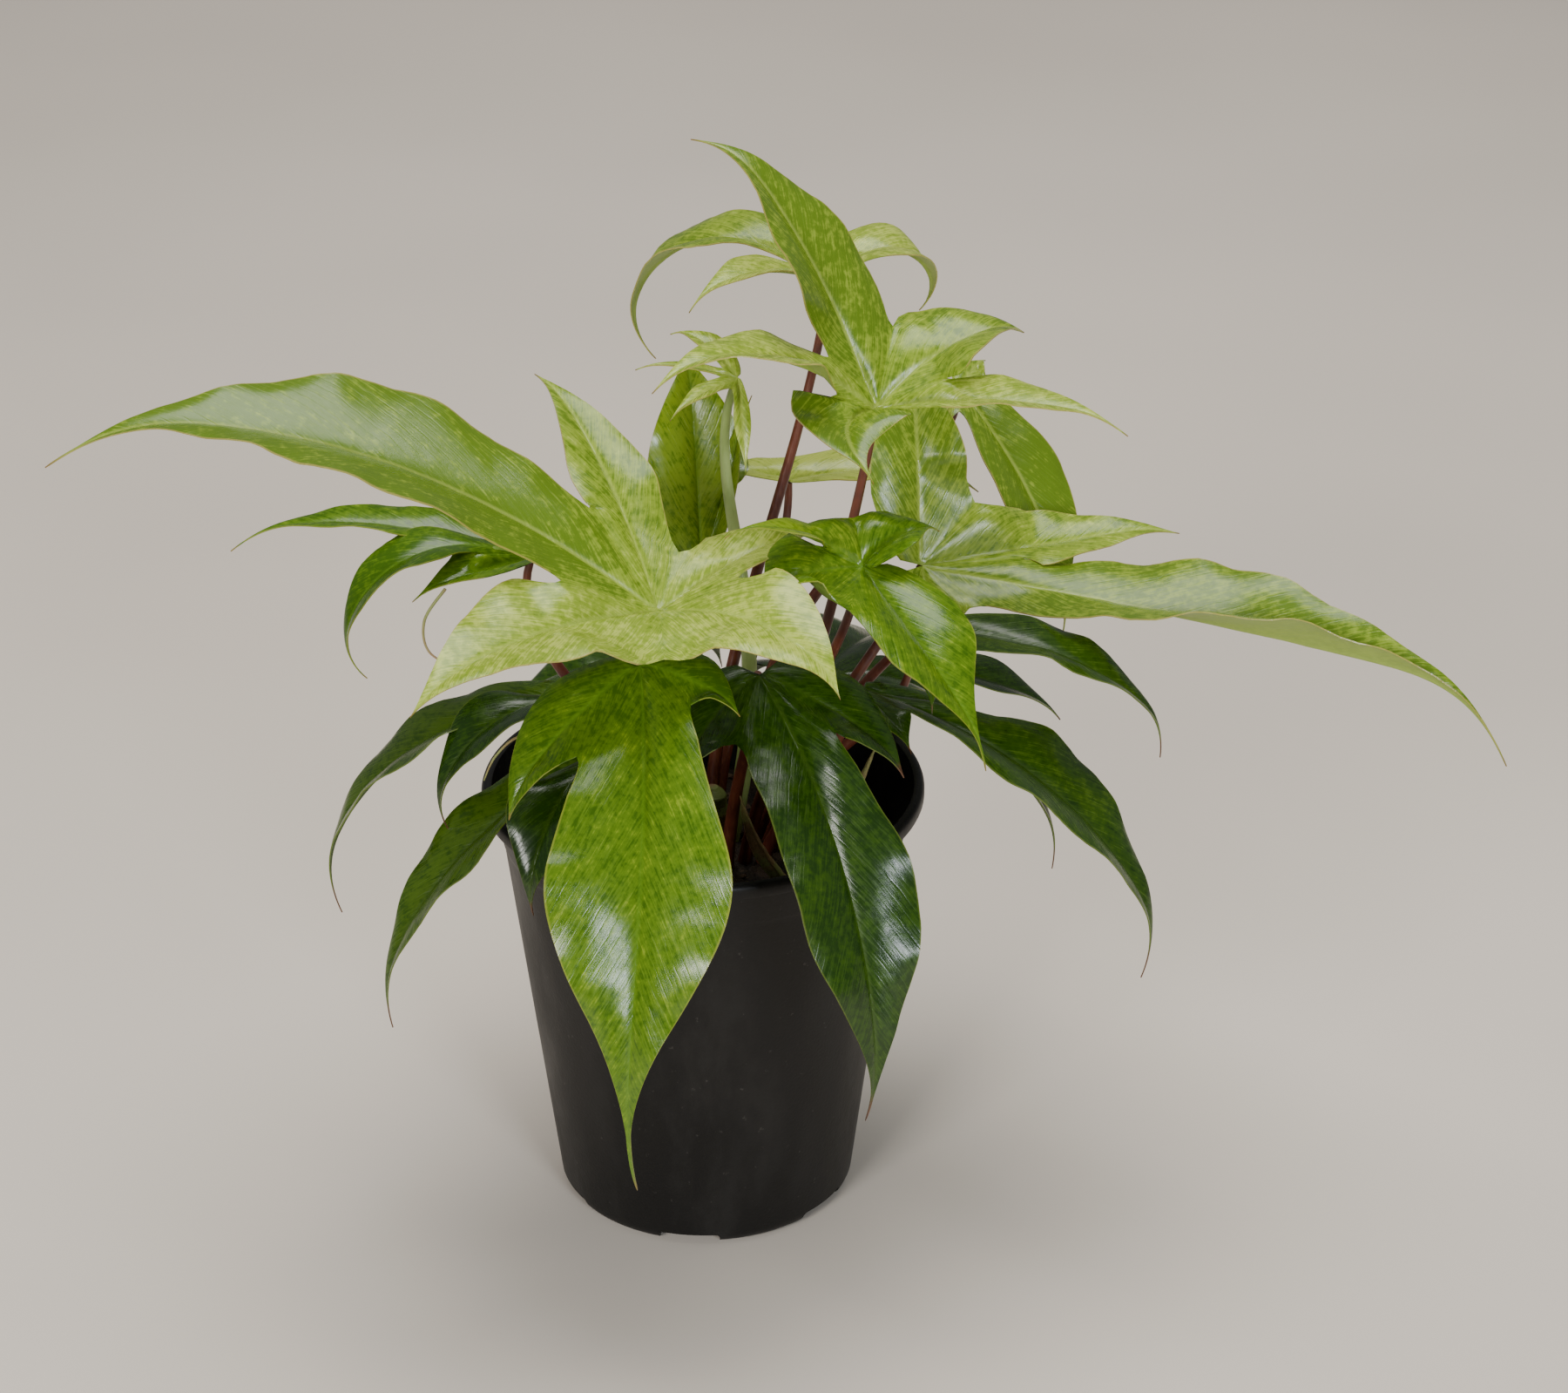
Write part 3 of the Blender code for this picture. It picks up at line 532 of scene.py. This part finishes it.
def buildLobe(leaf, index, seams, notches):
    # one lobe: a grid whose middle line is the midrib, bent to the lobe's own curve
    shape = leaf["lobes"][index]
    hub = Vector(leaf["hub"])
    webs = leaf["webs"]
    # the webs on its right and on its left
    beside = ((-1, (index - 1) % len(leaf["lobes"])), (1, index))
    near = [webs[web] for _, web in beside if web < len(webs)]
    joined = min(sum(near) / len(near) / shape["length"], 0.8) if near else 0.1
    webRows = blade["webRows"]
    freeRows = max(12, round(shape["length"] * (1.0 - joined) / blade["rowLength"]))
    rows = webRows + freeRows
    columns = blade["across"] * 2
    bpy.ops.mesh.primitive_grid_add(x_subdivisions=columns, y_subdivisions=rows, size=2)
    piece = bpy.context.object
    mesh = piece.data
    count = len(mesh.vertices)
    flat = np.zeros(count * 3)
    mesh.vertices.foreach_get("co", flat)
    flat = flat.reshape(-1, 3)
    sides = -flat[:, 0]
    rowOf = np.rint((flat[:, 1] + 1.0) / 2.0 * rows).astype(int)

    ribs, lefts, rights, ups, shares = lobeRows(
        shape, hub, joined, rows, beside, seams, notches)
    out = np.abs(sides) ** blade["columnEase"]
    bulge = out * (1 - out)
    rib, up, u = ribs[rowOf], ups[rowOf], shares[rowOf]
    ends = np.where((sides > 0)[:, None], lefts[rowOf], rights[rowOf])
    reach = ends - rib
    wide = np.linalg.norm(reach, axis=1)
    rise = (reach * up).sum(1)
    web = np.clip(1.0 - (rowOf - webRows) / blade["webFade"], 0.0, 1.0)
    arch = (rise * (0.35 + 0.65 * web) + blade["puff"] * wide * 4) * bulge
    free = np.clip((rowOf - webRows) / blade["freeFade"], 0.0, 1.0)
    free = free * np.sin(np.pi * np.clip(u, 0, 1)) ** 0.7
    phase = shape["heading"] * 0.7 + np.where(sides > 0, 1.9, 0.0)
    size = np.minimum(1.0, wide / blade["fullSize"])
    travel = u * shape["length"]
    ripple = blade["ripple"] * size * free * out ** 2.2 * np.sin(
        math.tau * travel / blade["rippleLength"] + phase)
    flow = (travel - veins["slope"] * wide * out) / (veins["spacing"] / mm)
    quilt = blade["quilt"] * size * np.sin(math.pi * flow) ** 2 * 4 * bulge
    place = rib + reach * out[:, None]
    pucker = np.array([
        noise.noise(Vector(p) * 0.11) + 0.5 * noise.noise(Vector(p) * 0.27) for p in place])
    # joined edges stay where both lobes meet
    held = 1.0 - web * out ** 3
    height = arch + ripple + quilt + blade["pucker"] * pucker * size * (0.3 + 0.7 * out) * held
    place = place + up * height[:, None]
    mesh.vertices.foreach_set("co", (place * mm).ravel())

    # what the later steps and the skins read
    seam = np.zeros(count)
    for sign, webIndex in beside:
        if webIndex < len(notches):
            gap = np.linalg.norm(place - np.array(notches[webIndex][:]), axis=1)
            fade = np.where(rowOf <= webRows, 1.0, np.exp(-((gap / blade["seamReach"]) ** 2)))
            seam = np.maximum(seam, np.where(sides * sign > 0, out ** 1.5 * fade, 0.0))
    for sign, webIndex in beside:
        if webIndex >= len(notches):
            seam[(sides * sign > 0.98)] = 0.0
    seam[rowOf == 0] = 0.6 if len(leaf["lobes"]) > 2 else 0.0
    group = piece.vertex_groups.new(name="seams")
    for level in range(1, 11):
        chosen = np.flatnonzero(np.rint(seam * 10) == level).tolist()
        if chosen:
            group.add(chosen, level / 10, "REPLACE")
    # paleness per lobe, partly painted light and shade, fading to the leaf's average near the hub
    average = sum(s["pale"] for s in leaf["lobes"]) / len(leaf["lobes"])
    own = np.clip(u * shape["length"] / 30.0, 0, 1) * (1 - 0.6 * seam)
    pale = mesh.attributes.new("palenessAndLight", "FLOAT", "POINT")
    pale.data.foreach_set("value", average + (shape["pale"] - average) * own)
    ribLine = mesh.attributes.new("ribLine", "FLOAT", "POINT")
    ribHeight = np.exp(-((wide * out / blade["ribWidth"]) ** 2))
    ribHeight = ribHeight * np.clip(1.15 - u, 0, 1) * np.clip(wide / 5, 0, 1)
    ribLine.data.foreach_set("value", ribHeight)
    loops = np.zeros(len(mesh.loops), dtype=int)
    mesh.loops.foreach_get("vertex_index", loops)
    flowMap = mesh.uv_layers[0]
    flowMap.name = "veinMap"
    shapeMap = mesh.uv_layers.new(name="shapeMap")
    signed = np.where(sides >= 0, 1, -1) * wide * out * mm
    flowMap.uv.foreach_set(
        "vector", np.column_stack((signed[loops], (travel * mm + index * 0.4)[loops])).ravel())
    # no edge line on joined edges
    toEdge = out - 0.08 * np.clip(web, 0, 1) * (rowOf <= webRows + 1)
    shapeMap.uv.foreach_set("vector", np.column_stack((toEdge[loops], u[loops])).ravel())
    return piece


def buildBlade(key, leaf):
    hub = Vector(leaf["hub"])
    seams, notches = [], []
    for i, reach in enumerate(leaf["webs"]):
        rightLobe, leftLobe = leaf["lobes"][i], leaf["lobes"][(i + 1) % len(leaf["lobes"])]
        notch = notchPoint(hub, rightLobe, leftLobe, reach)
        if i == len(leaf["lobes"]) - 1:
            notch += Vector(leaf.get("apron", (0, 0, 0)))
        leave = (lobeFrame(rightLobe, 0)[0] + lobeFrame(leftLobe, 0)[0]).normalized()
        bend = hub + leave * (0.5 * reach)
        line = []
        for j in range(blade["webRows"] + 1):
            t = j / blade["webRows"]
            line.append(hub * (1 - t) ** 2 + bend * (2 * t * (1 - t)) + notch * t * t)
        seams.append(line)
        notches.append(notch)
    bpy.ops.object.select_all(action="DESELECT")
    lobes = [buildLobe(leaf, i, seams, notches) for i in range(len(leaf["lobes"]))]
    bpy.ops.object.select_all(action="DESELECT")
    for piece in lobes:
        piece.select_set(True)
    bpy.context.view_layer.objects.active = lobes[0]
    if len(lobes) > 1:
        bpy.ops.object.join()
    piece = bpy.context.object
    piece.name = piece.data.name = f"leaf{key}Blade"
    bpy.ops.object.mode_set(mode="EDIT")
    bpy.ops.mesh.select_all(action="SELECT")
    bpy.ops.mesh.remove_doubles(threshold=0.00002)
    bpy.ops.object.mode_set(mode="OBJECT")
    settle = piece.modifiers.new("Soft seams", "SMOOTH")
    settle.factor, settle.iterations, settle.vertex_group = 0.5, blade["smoothing"], "seams"
    bpy.ops.object.modifier_apply(modifier=settle.name)
    for skin in skins[leaf["tone"]]:
        piece.data.materials.append(skin)

    skin = piece.modifiers.new("Thickness", "SOLIDIFY")
    skin.thickness, skin.offset, skin.material_offset = blade["thickness"] * mm, 0.0, 1
    half = len(piece.data.vertices)
    bpy.ops.object.modifier_apply(modifier=skin.name)
    mesh = piece.data
    count = len(mesh.vertices)
    points, normals, ridge = np.zeros(count * 3), np.zeros(count * 3), np.zeros(count)
    mesh.vertices.foreach_get("co", points)
    mesh.vertices.foreach_get("normal", normals)
    mesh.attributes["ribLine"].data.foreach_get("value", ridge)
    points, normals = points.reshape(-1, 3), normals.reshape(-1, 3)
    depth = np.where(np.arange(count) < half, -blade["ribGroove"], blade["ribDepth"])
    points += normals * (ridge * depth * mm)[:, None]
    mesh.vertices.foreach_set("co", points.ravel())
    mesh.attributes.remove(mesh.attributes["ribLine"])
    piece.vertex_groups.clear()
    bpy.ops.object.shade_smooth_by_angle(angle=math.radians(blade["sharpAngle"]))
    return piece


for key, leaf in leaves.items():
    piece = buildBlade(key, leaf)
    node = f"leaf_{key.lower()}_blade"
    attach(piece, "root")
    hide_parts(node)
print("leaf blades ready")

# ---- leaf stalks
stalk = {"foot": 2.4, "top": 1.35, "soil": 127.5, "gap": 0.7, "reach": 0.3}
stalkLook = {
    "gloss": 0.45, "base": (60.0, 3.0), "layer": ((900, 900, 26), 4.0, 0.6),
    "blend": (0.35, 0.65), "overBlend": (0.5, 0.75, 0.0, 0.6),
    "rough": (0.3, 0.7, 0.30, 0.46), "bump": (0.0003, 0.35),
}
redLook = {
    "low": (0.075, 0.016, 0.010), "high": (0.15, 0.038, 0.018), "over": (0.21, 0.075, 0.030),
}
greenLook = {"low": (0.27, 0.38, 0.10), "high": (0.40, 0.52, 0.17), "over": (0.20, 0.31, 0.07)}
redStalk = layeredSkin("red-brown stalk", {**stalkLook, **redLook})
greenStalk = layeredSkin("pale green stalk", {**stalkLook, **greenLook})


def hubNormal(leaf):
    total = Vector()
    for shape in leaf["lobes"]:
        total += lobeFrame(shape, 0)[2]
    return total.normalized()


def tube(name, points, radii, resolution=24):
    # a smooth tube through Bezier points given as (point, left handle, right handle)
    bpy.ops.object.select_all(action="DESELECT")
    bpy.ops.curve.primitive_bezier_curve_add()
    piece = bpy.context.object
    curve = piece.data
    curve.resolution_u = resolution
    curve.bevel_depth = mm
    curve.bevel_resolution = 4
    curve.use_fill_caps = True
    spline = curve.splines[0]
    spline.bezier_points.add(len(points) - 2)
    for knot, (point, before, after), radius in zip(spline.bezier_points, points, radii):
        knot.handle_left_type = knot.handle_right_type = "FREE"
        knot.co, knot.handle_left = Vector(point) * mm, Vector(before) * mm
        knot.handle_right = Vector(after) * mm
        knot.radius = radius
    bpy.ops.object.convert(target="MESH")
    piece = bpy.context.object
    piece.name = piece.data.name = name
    bpy.ops.object.shade_smooth_by_angle(angle=math.radians(50))
    return piece


for key, leaf in leaves.items():
    hub = Vector(leaf["hub"])
    down = Vector(leaf["arrive"]) if "arrive" in leaf else -hubNormal(leaf)
    foot = Vector((*leaf["base"], stalk["soil"]))
    top = hub + down.normalized() * stalk["gap"]
    reach = down.length if "arrive" in leaf else (top - foot).length * stalk["reach"]
    lift = foot + Vector(leaf["lift"])
    arrive = top + down.normalized() * reach
    radii = leaf.get("stalk", (stalk["foot"], stalk["top"]))
    piece = tube(f"leaf{key}Stalk", [(foot, foot, lift), (top, arrive, top)], radii)
    piece.data.materials.append(greenStalk if key == "T" else redStalk)
    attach(piece, "root")
    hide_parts(f"leaf_{key.lower()}_petiole")
print("leaf stalks ready")

# ---- pot
# sizes in millimetres and the first slot's angle in degrees
pot = {
    "steps": 144, "height": 155.0, "lipRadius": 75.0, "lipInside": 71.3, "lipDepth": 5.5,
    "collarRadius": 70.2, "collarDepth": 18.0, "collarStep": 0.5, "baseRadius": 51.5,
    "baseRound": 5.0, "wall": 1.6, "floor": 2.2,
    "slots": 6, "slotWidth": 21.0, "slotHeight": 4.2, "slotReach": 9.0, "slotRound": 1.2,
    "firstSlot": -96.0, "sharpAngle": 32.0,
}
potLook = {
    "gloss": 0.25, "base": ((38, 38, 14), 6.0, 0.68), "layer": (330.0, 3.0, 0.7),
    "grain": (900.0, 2.0), "blend": (0.42, 0.72), "overBlend": (0.66, 0.74, 0.0, 0.5),
    "low": (0.0060, 0.0056, 0.0053), "high": (0.014, 0.013, 0.012),
    "over": (0.055, 0.050, 0.045), "roughBy": "base", "rough": (0.3, 0.75, 0.40, 0.60),
    "bumpBy": "grain", "bump": (0.0002, 0.35),
}


def wallRadius(height):
    high = pot["height"] - pot["lipDepth"]
    top = pot["collarRadius"] - pot["collarStep"]
    share = (height - pot["baseRound"]) / (high - pot["baseRound"])
    return pot["baseRadius"] + (top - pot["baseRadius"]) * share


def ringStack(name, rings, steps):
    # a circle extruded and scaled from ring to ring, both ends filled
    bpy.ops.object.select_all(action="DESELECT")
    radius, height = rings[0]
    bpy.ops.mesh.primitive_circle_add(
        vertices=steps, radius=radius * mm, location=(0, 0, height * mm), fill_type="NOTHING")
    bpy.ops.object.transform_apply(location=True, rotation=True, scale=True)
    piece = bpy.context.object
    piece.name = piece.data.name = name
    bpy.ops.object.mode_set(mode="EDIT")
    bpy.ops.mesh.select_all(action="SELECT")
    bpy.ops.mesh.edge_face_add()
    bpy.ops.mesh.select_all(action="SELECT")
    bpy.ops.mesh.delete(type="ONLY_FACE")
    bpy.ops.mesh.select_all(action="SELECT")
    for nextRadius, nextHeight in rings[1:]:
        bpy.ops.mesh.extrude_edges_move(
            TRANSFORM_OT_translate={"value": (0, 0, (nextHeight - height) * mm)})
        grow = nextRadius / radius
        bpy.ops.transform.resize(value=(grow, grow, 1.0), center_override=(0, 0, 0))
        radius, height = nextRadius, nextHeight
    bpy.ops.mesh.edge_face_add()
    bpy.ops.object.mode_set(mode="OBJECT")
    for vert in piece.data.vertices:
        vert.select = vert.index < steps
    bpy.ops.object.mode_set(mode="EDIT")
    bpy.ops.mesh.edge_face_add()
    bpy.ops.mesh.select_all(action="SELECT")
    bpy.ops.mesh.normals_make_consistent(inside=False)
    bpy.ops.object.mode_set(mode="OBJECT")
    return piece


# outside from the base edge up, round the lip, then down the inside: radius and height
rim, under = pot["height"], pot["height"] - pot["lipDepth"]
collar, edge = pot["height"] - pot["collarDepth"], pot["baseRound"]
rings = []
for i in range(7):
    angle = math.radians(90 - 15 * i)
    rings.append((wallRadius(edge) - edge + edge * math.cos(angle), edge - edge * math.sin(angle)))
rings += [(wallRadius(h), h) for h in (30, 60, 90, 120, collar - 2.2, collar - 1.0)]
rings += [
    (wallRadius(collar) + 0.1, collar - 0.4), (wallRadius(collar) + 0.4, collar + 0.2),
    (wallRadius(collar) + pot["collarStep"], collar + 0.9),
    (wallRadius(collar + 2.0) + pot["collarStep"], collar + 2.0),
    (wallRadius(under - 3.0) + pot["collarStep"], under - 3.0), (pot["collarRadius"], under - 1.0),
    (pot["collarRadius"] + 0.1, under - 0.3),
    (pot["collarRadius"] + 0.5, under), (pot["lipRadius"] - 1.2, under),
    (pot["lipRadius"] - 0.4, under + 0.4), (pot["lipRadius"], under + 1.3),
    (pot["lipRadius"], rim - 1.8), (pot["lipRadius"] - 0.35, rim - 0.8),
    (pot["lipRadius"] - 1.1, rim - 0.15), (pot["lipRadius"] - 1.9, rim),
    (pot["lipInside"] + 0.9, rim), (pot["lipInside"] + 0.2, rim - 0.35),
    (pot["lipInside"], rim - 1.0), (pot["lipInside"] - 1.2, under - 1.0),
    (wallRadius(collar) - pot["wall"], collar), (wallRadius(70) - pot["wall"], 70),
    (wallRadius(9) - pot["wall"], 9), (wallRadius(5) - pot["wall"] - 0.8, 4.4),
    (wallRadius(5) - pot["wall"] - 3.6, pot["floor"]),
]
potShell = ringStack("potShell", rings, pot["steps"])
for i in range(pot["slots"]):
    angle = math.radians(pot["firstSlot"] + 360 * i / pot["slots"])
    reach = (pot["baseRadius"] - pot["slotReach"] / 2 + 4.0) * mm
    bpy.ops.object.select_all(action="DESELECT")
    bpy.ops.mesh.primitive_cube_add(
        size=1, location=(reach * math.cos(angle), reach * math.sin(angle), 0),
        rotation=(0, 0, angle),
        scale=((pot["slotReach"] + 8) * mm, pot["slotWidth"] * mm, pot["slotHeight"] * 2 * mm))
    cutter = bpy.context.object
    bpy.ops.object.mode_set(mode="EDIT")
    bpy.ops.mesh.select_all(action="SELECT")
    bpy.ops.mesh.bevel(offset=pot["slotRound"] * mm, segments=4, affect="EDGES")
    bpy.ops.object.mode_set(mode="OBJECT")
    bpy.context.view_layer.objects.active = potShell
    cut = potShell.modifiers.new("Drain slot", "BOOLEAN")
    cut.operation, cut.object, cut.solver = "DIFFERENCE", cutter, "EXACT"
    bpy.ops.object.modifier_apply(modifier=cut.name)
    bpy.data.objects.remove(cutter)
bpy.ops.object.select_all(action="DESELECT")
potShell.select_set(True)
bpy.ops.object.shade_smooth_by_angle(angle=math.radians(pot["sharpAngle"]))

potShell.data.materials.append(layeredSkin("charcoal pot plastic", potLook))
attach(potShell, "root")
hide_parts("pot")
print("pot ready")

# ---- soil
soil = {"radius": 65.0, "edge": 126.0, "top": 128.0, "faces": 150, "depth": 4.0, "lump": 2.6}
soilLook = {
    "gloss": 0.3, "base": (120.0, 4.0), "layer": (520.0, 6.0, 0.7),
    "blend": (0.35, 0.65), "overBlend": (0.58, 0.70, 0.0, 0.8),
    "low": (0.010, 0.0065, 0.0045), "high": (0.032, 0.020, 0.012),
    "over": (0.085, 0.052, 0.028), "roughBy": "base", "rough": (0.3, 0.7, 0.75, 0.95),
    "bump": (0.0008, 0.7),
}

bpy.ops.object.select_all(action="DESELECT")
bpy.ops.mesh.primitive_grid_add(
    x_subdivisions=soil["faces"], y_subdivisions=soil["faces"], size=2)
soilBed = bpy.context.object
soilBed.name = soilBed.data.name = "soilBed"
for vert in soilBed.data.vertices:
    x, y = vert.co.x, vert.co.y
    x, y = x * math.sqrt(1 - y * y / 2), y * math.sqrt(1 - x * x / 2)
    x, y, z = x * soil["radius"], y * soil["radius"], soil["edge"] - soil["depth"]
    vert.co = Vector((x * mm, y * mm, z * mm))
bpy.ops.object.mode_set(mode="EDIT")
bpy.ops.mesh.select_all(action="SELECT")
bpy.ops.mesh.extrude_region_move(TRANSFORM_OT_translate={"value": (0, 0, soil["depth"] * mm)})
bpy.ops.mesh.select_all(action="SELECT")
bpy.ops.mesh.normals_make_consistent(inside=False)
bpy.ops.object.mode_set(mode="OBJECT")


def soilHeight(x, y):
    # x, y and the answer in millimetres
    far = math.hypot(x, y) / soil["radius"]
    point = Vector((x, y, 0))
    lumps = sum(share * noise.noise(point * scale) for share, scale in (
        (1.0, 0.10), (0.7, 0.26), (0.4, 0.7)))
    height = soil["top"] - (soil["top"] - soil["edge"]) * far ** 3
    return height + soil["lump"] * lumps * (1 - 0.5 * far)


for vert in soilBed.data.vertices:
    if vert.co.z > (soil["edge"] - 0.5 * soil["depth"]) * mm:
        vert.co.z = soilHeight(vert.co.x / mm, vert.co.y / mm) * mm

soilBed.data.materials.append(layeredSkin("damp potting mix", soilLook))

# sizes in millimetres, long and flat as shares of the size
bark = {
    "count": 230, "seed": 5, "size": (0.8, 2.4), "long": (0.8, 1.9), "flat": (0.35, 0.7),
    "tilt": 0.5, "turn": 6.28, "spread": 0.95, "rugged": 0.25, "sink": 0.3,
}
barkLook = {
    "gloss": 0.3, "base": (70.0, 2.0), "layer": (700.0, 4.0, 0.7),
    "blend": (0.38, 0.62), "overBlend": (0.4, 0.7, 0.0, 0.6),
    "low": (0.022, 0.013, 0.008), "high": (0.095, 0.055, 0.030), "over": (0.04, 0.025, 0.016),
    "rough": (0.3, 0.7, 0.7, 0.95), "bump": (0.0005, 0.6),
}
random.seed(bark["seed"])
bpy.ops.object.select_all(action="DESELECT")
bpy.ops.mesh.primitive_ico_sphere_add(subdivisions=1, radius=1.0)
crumb = bpy.context.object
crumbs = []
for i in range(bark["count"]):
    piece = crumb.copy()
    piece.data = crumb.data.copy()
    bpy.context.collection.objects.link(piece)
    far = soil["radius"] * bark["spread"] * math.sqrt(random.random())
    angle = random.uniform(0, math.tau)
    x, y = far * math.cos(angle), far * math.sin(angle)
    size = random.uniform(*bark["size"])
    length = size * random.uniform(*bark["long"])
    scale = Vector((length, size, size * random.uniform(*bark["flat"])))
    tiltX = random.uniform(-bark["tilt"], bark["tilt"])
    tiltY = random.uniform(-bark["tilt"], bark["tilt"])
    turn = Vector((tiltX, tiltY, random.uniform(0, bark["turn"])))
    for vert in piece.data.vertices:
        jitter = 1.0 + bark["rugged"] * noise.noise(vert.co * 1.7 + Vector((i, 0, 0)))
        vert.co = vert.co * scale * jitter
    piece.rotation_euler = turn
    piece.scale = (mm, mm, mm)
    piece.location = (x * mm, y * mm, (soilHeight(x, y) + bark["sink"] * size) * mm)
    crumbs.append(piece)
bpy.data.objects.remove(crumb)
for piece in crumbs:
    piece.select_set(True)
bpy.context.view_layer.objects.active = crumbs[0]
bpy.ops.object.join()
bpy.ops.object.transform_apply(location=True, rotation=True, scale=True)
barkBits = bpy.context.object
barkBits.name = barkBits.data.name = "barkBits"
bpy.ops.object.shade_smooth_by_angle(angle=math.radians(40))
barkBits.data.materials.append(layeredSkin("bark bits", barkLook))
for piece in (soilBed, barkBits):
    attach(piece, "root")
    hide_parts("soil")
print("soil ready")

# ---- stem and papery sheaths
stem = {"place": (3, 0), "radius": 5.2, "foot": 126, "length": 26.0, "knots": 9, "ring": 0.07}
stemLook = {
    "gloss": 0.4, "base": (90.0, 3.0), "layer": ((120, 120, 700), 4.0, 0.6),
    "blend": (0.4, 0.6), "overBlend": (0.52, 0.68, 0.0, 0.7),
    "low": (0.10, 0.13, 0.03), "high": (0.13, 0.075, 0.03), "over": (0.05, 0.03, 0.015),
    "rough": (0.3, 0.7, 0.45, 0.65), "bump": (0.0006, 0.6),
}

points, radii = [], []
for i in range(stem["knots"]):
    share = i / (stem["knots"] - 1)
    sway = 0.8 * math.sin(3 * share)
    height = stem["foot"] + stem["length"] * share
    points.append(Vector((stem["place"][0] + sway, stem["place"][1], height)))
    radii.append(stem["radius"] * (1.08 - 0.3 * share + stem["ring"] * (i % 2)))
radii[-1] = 2.0
knots = []
for i, point in enumerate(points):
    step = Vector((0, 0, stem["length"] / 24))
    knots.append((point, point - step, point + step))
stemPiece = tube("mainStem", knots, radii, 8)
stemPiece.data.materials.append(layeredSkin("green-brown stem", stemLook))
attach(stemPiece, "root")
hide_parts("stem")

sheath = {
    "foot": 127.5, "across": 14, "along": 36, "curl": 1.2, "bow": 3, "crinkle": 0.35,
    "thickness": 0.35,
}
sheathLook = {
    "gloss": 0.35, "base": (75.0, 3.0), "layer": ((1100, 1100, 60), 4.0, 0.6),
    "blend": (0.4, 0.62), "overBlend": (0.5, 0.7, 0.0, 0.6),
    "low": (0.30, 0.33, 0.11), "high": (0.33, 0.21, 0.10), "over": (0.17, 0.11, 0.05),
    "rough": (0.3, 0.7, 0.45, 0.7), "bump": (0.0004, 0.5),
}
sheathSkin = layeredSkin("papery sheath", sheathLook)

# foot and tip in millimetres, width at the foot
sheaths = {
    "Front": ((26, -27), (13, -42, 171), 9.0),
    "Right": ((37, -10), (58, -16, 176), 11.0),
    "Back": ((-4, 24), (-16, 34, 168), 9.0),
}
for key, (foot, tip, width) in sheaths.items():
    base, end = Vector((*foot, sheath["foot"])), Vector(tip)
    across = (end - base).cross(Vector((0, 0, 1))).normalized()
    out = across.cross(end - base).normalized()
    bpy.ops.object.select_all(action="DESELECT")
    bpy.ops.mesh.primitive_grid_add(
        x_subdivisions=sheath["across"], y_subdivisions=sheath["along"], size=2)
    piece = bpy.context.object
    piece.name = piece.data.name = f"sheath{key}"
    for vert in piece.data.vertices:
        t = min((vert.co.y + 1) / 2, 0.995)
        angle = vert.co.x * sheath["curl"] * (1 + 0.25 * t)
        half = 0.5 * width * (1 - t ** 1.6)
        point = base.lerp(end, t) - out * (math.sin(math.pi * t) * sheath["bow"])
        crinkle = sheath["crinkle"] * noise.noise(point * 0.25 + Vector((vert.co.x * 2, 0, 0)))
        point += across * (half * math.sin(angle)) + out * (half * math.cos(angle) + crinkle)
        vert.co = point * mm
    piece.data.materials.append(sheathSkin)
    skin = piece.modifiers.new("Thickness", "SOLIDIFY")
    skin.thickness, skin.offset = sheath["thickness"] * mm, 0.0
    bpy.ops.object.modifier_apply(modifier=skin.name)
    bpy.ops.object.shade_smooth_by_angle(angle=math.radians(60))
    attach(piece, "root")
    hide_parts(f"sheath_{key.lower()}")

# dry threads left by old sheaths, as points along each
threads = {
    "Left": [(-84, -6, 229), (-91, -9, 219), (-90, -10, 208), (-80, -12, 202)],
    "LowLeft": [(-46, -40, 190), (-58, -46, 195), (-66, -48, 189), (-70, -50, 181)],
}
for key, points in threads.items():
    knots = []
    for i, point in enumerate(points):
        before = Vector(points[max(i - 1, 0)])
        after = Vector(points[min(i + 1, len(points) - 1)])
        handle = (after - before) / 6
        knots.append((point, Vector(point) - handle, Vector(point) + handle))
    piece = tube(f"dryThread{key}", knots, [0.55, 0.5, 0.4, 0.2], 10)
    piece.data.materials.append(sheathSkin)
    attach(piece, "root")
print("stem and sheaths ready")
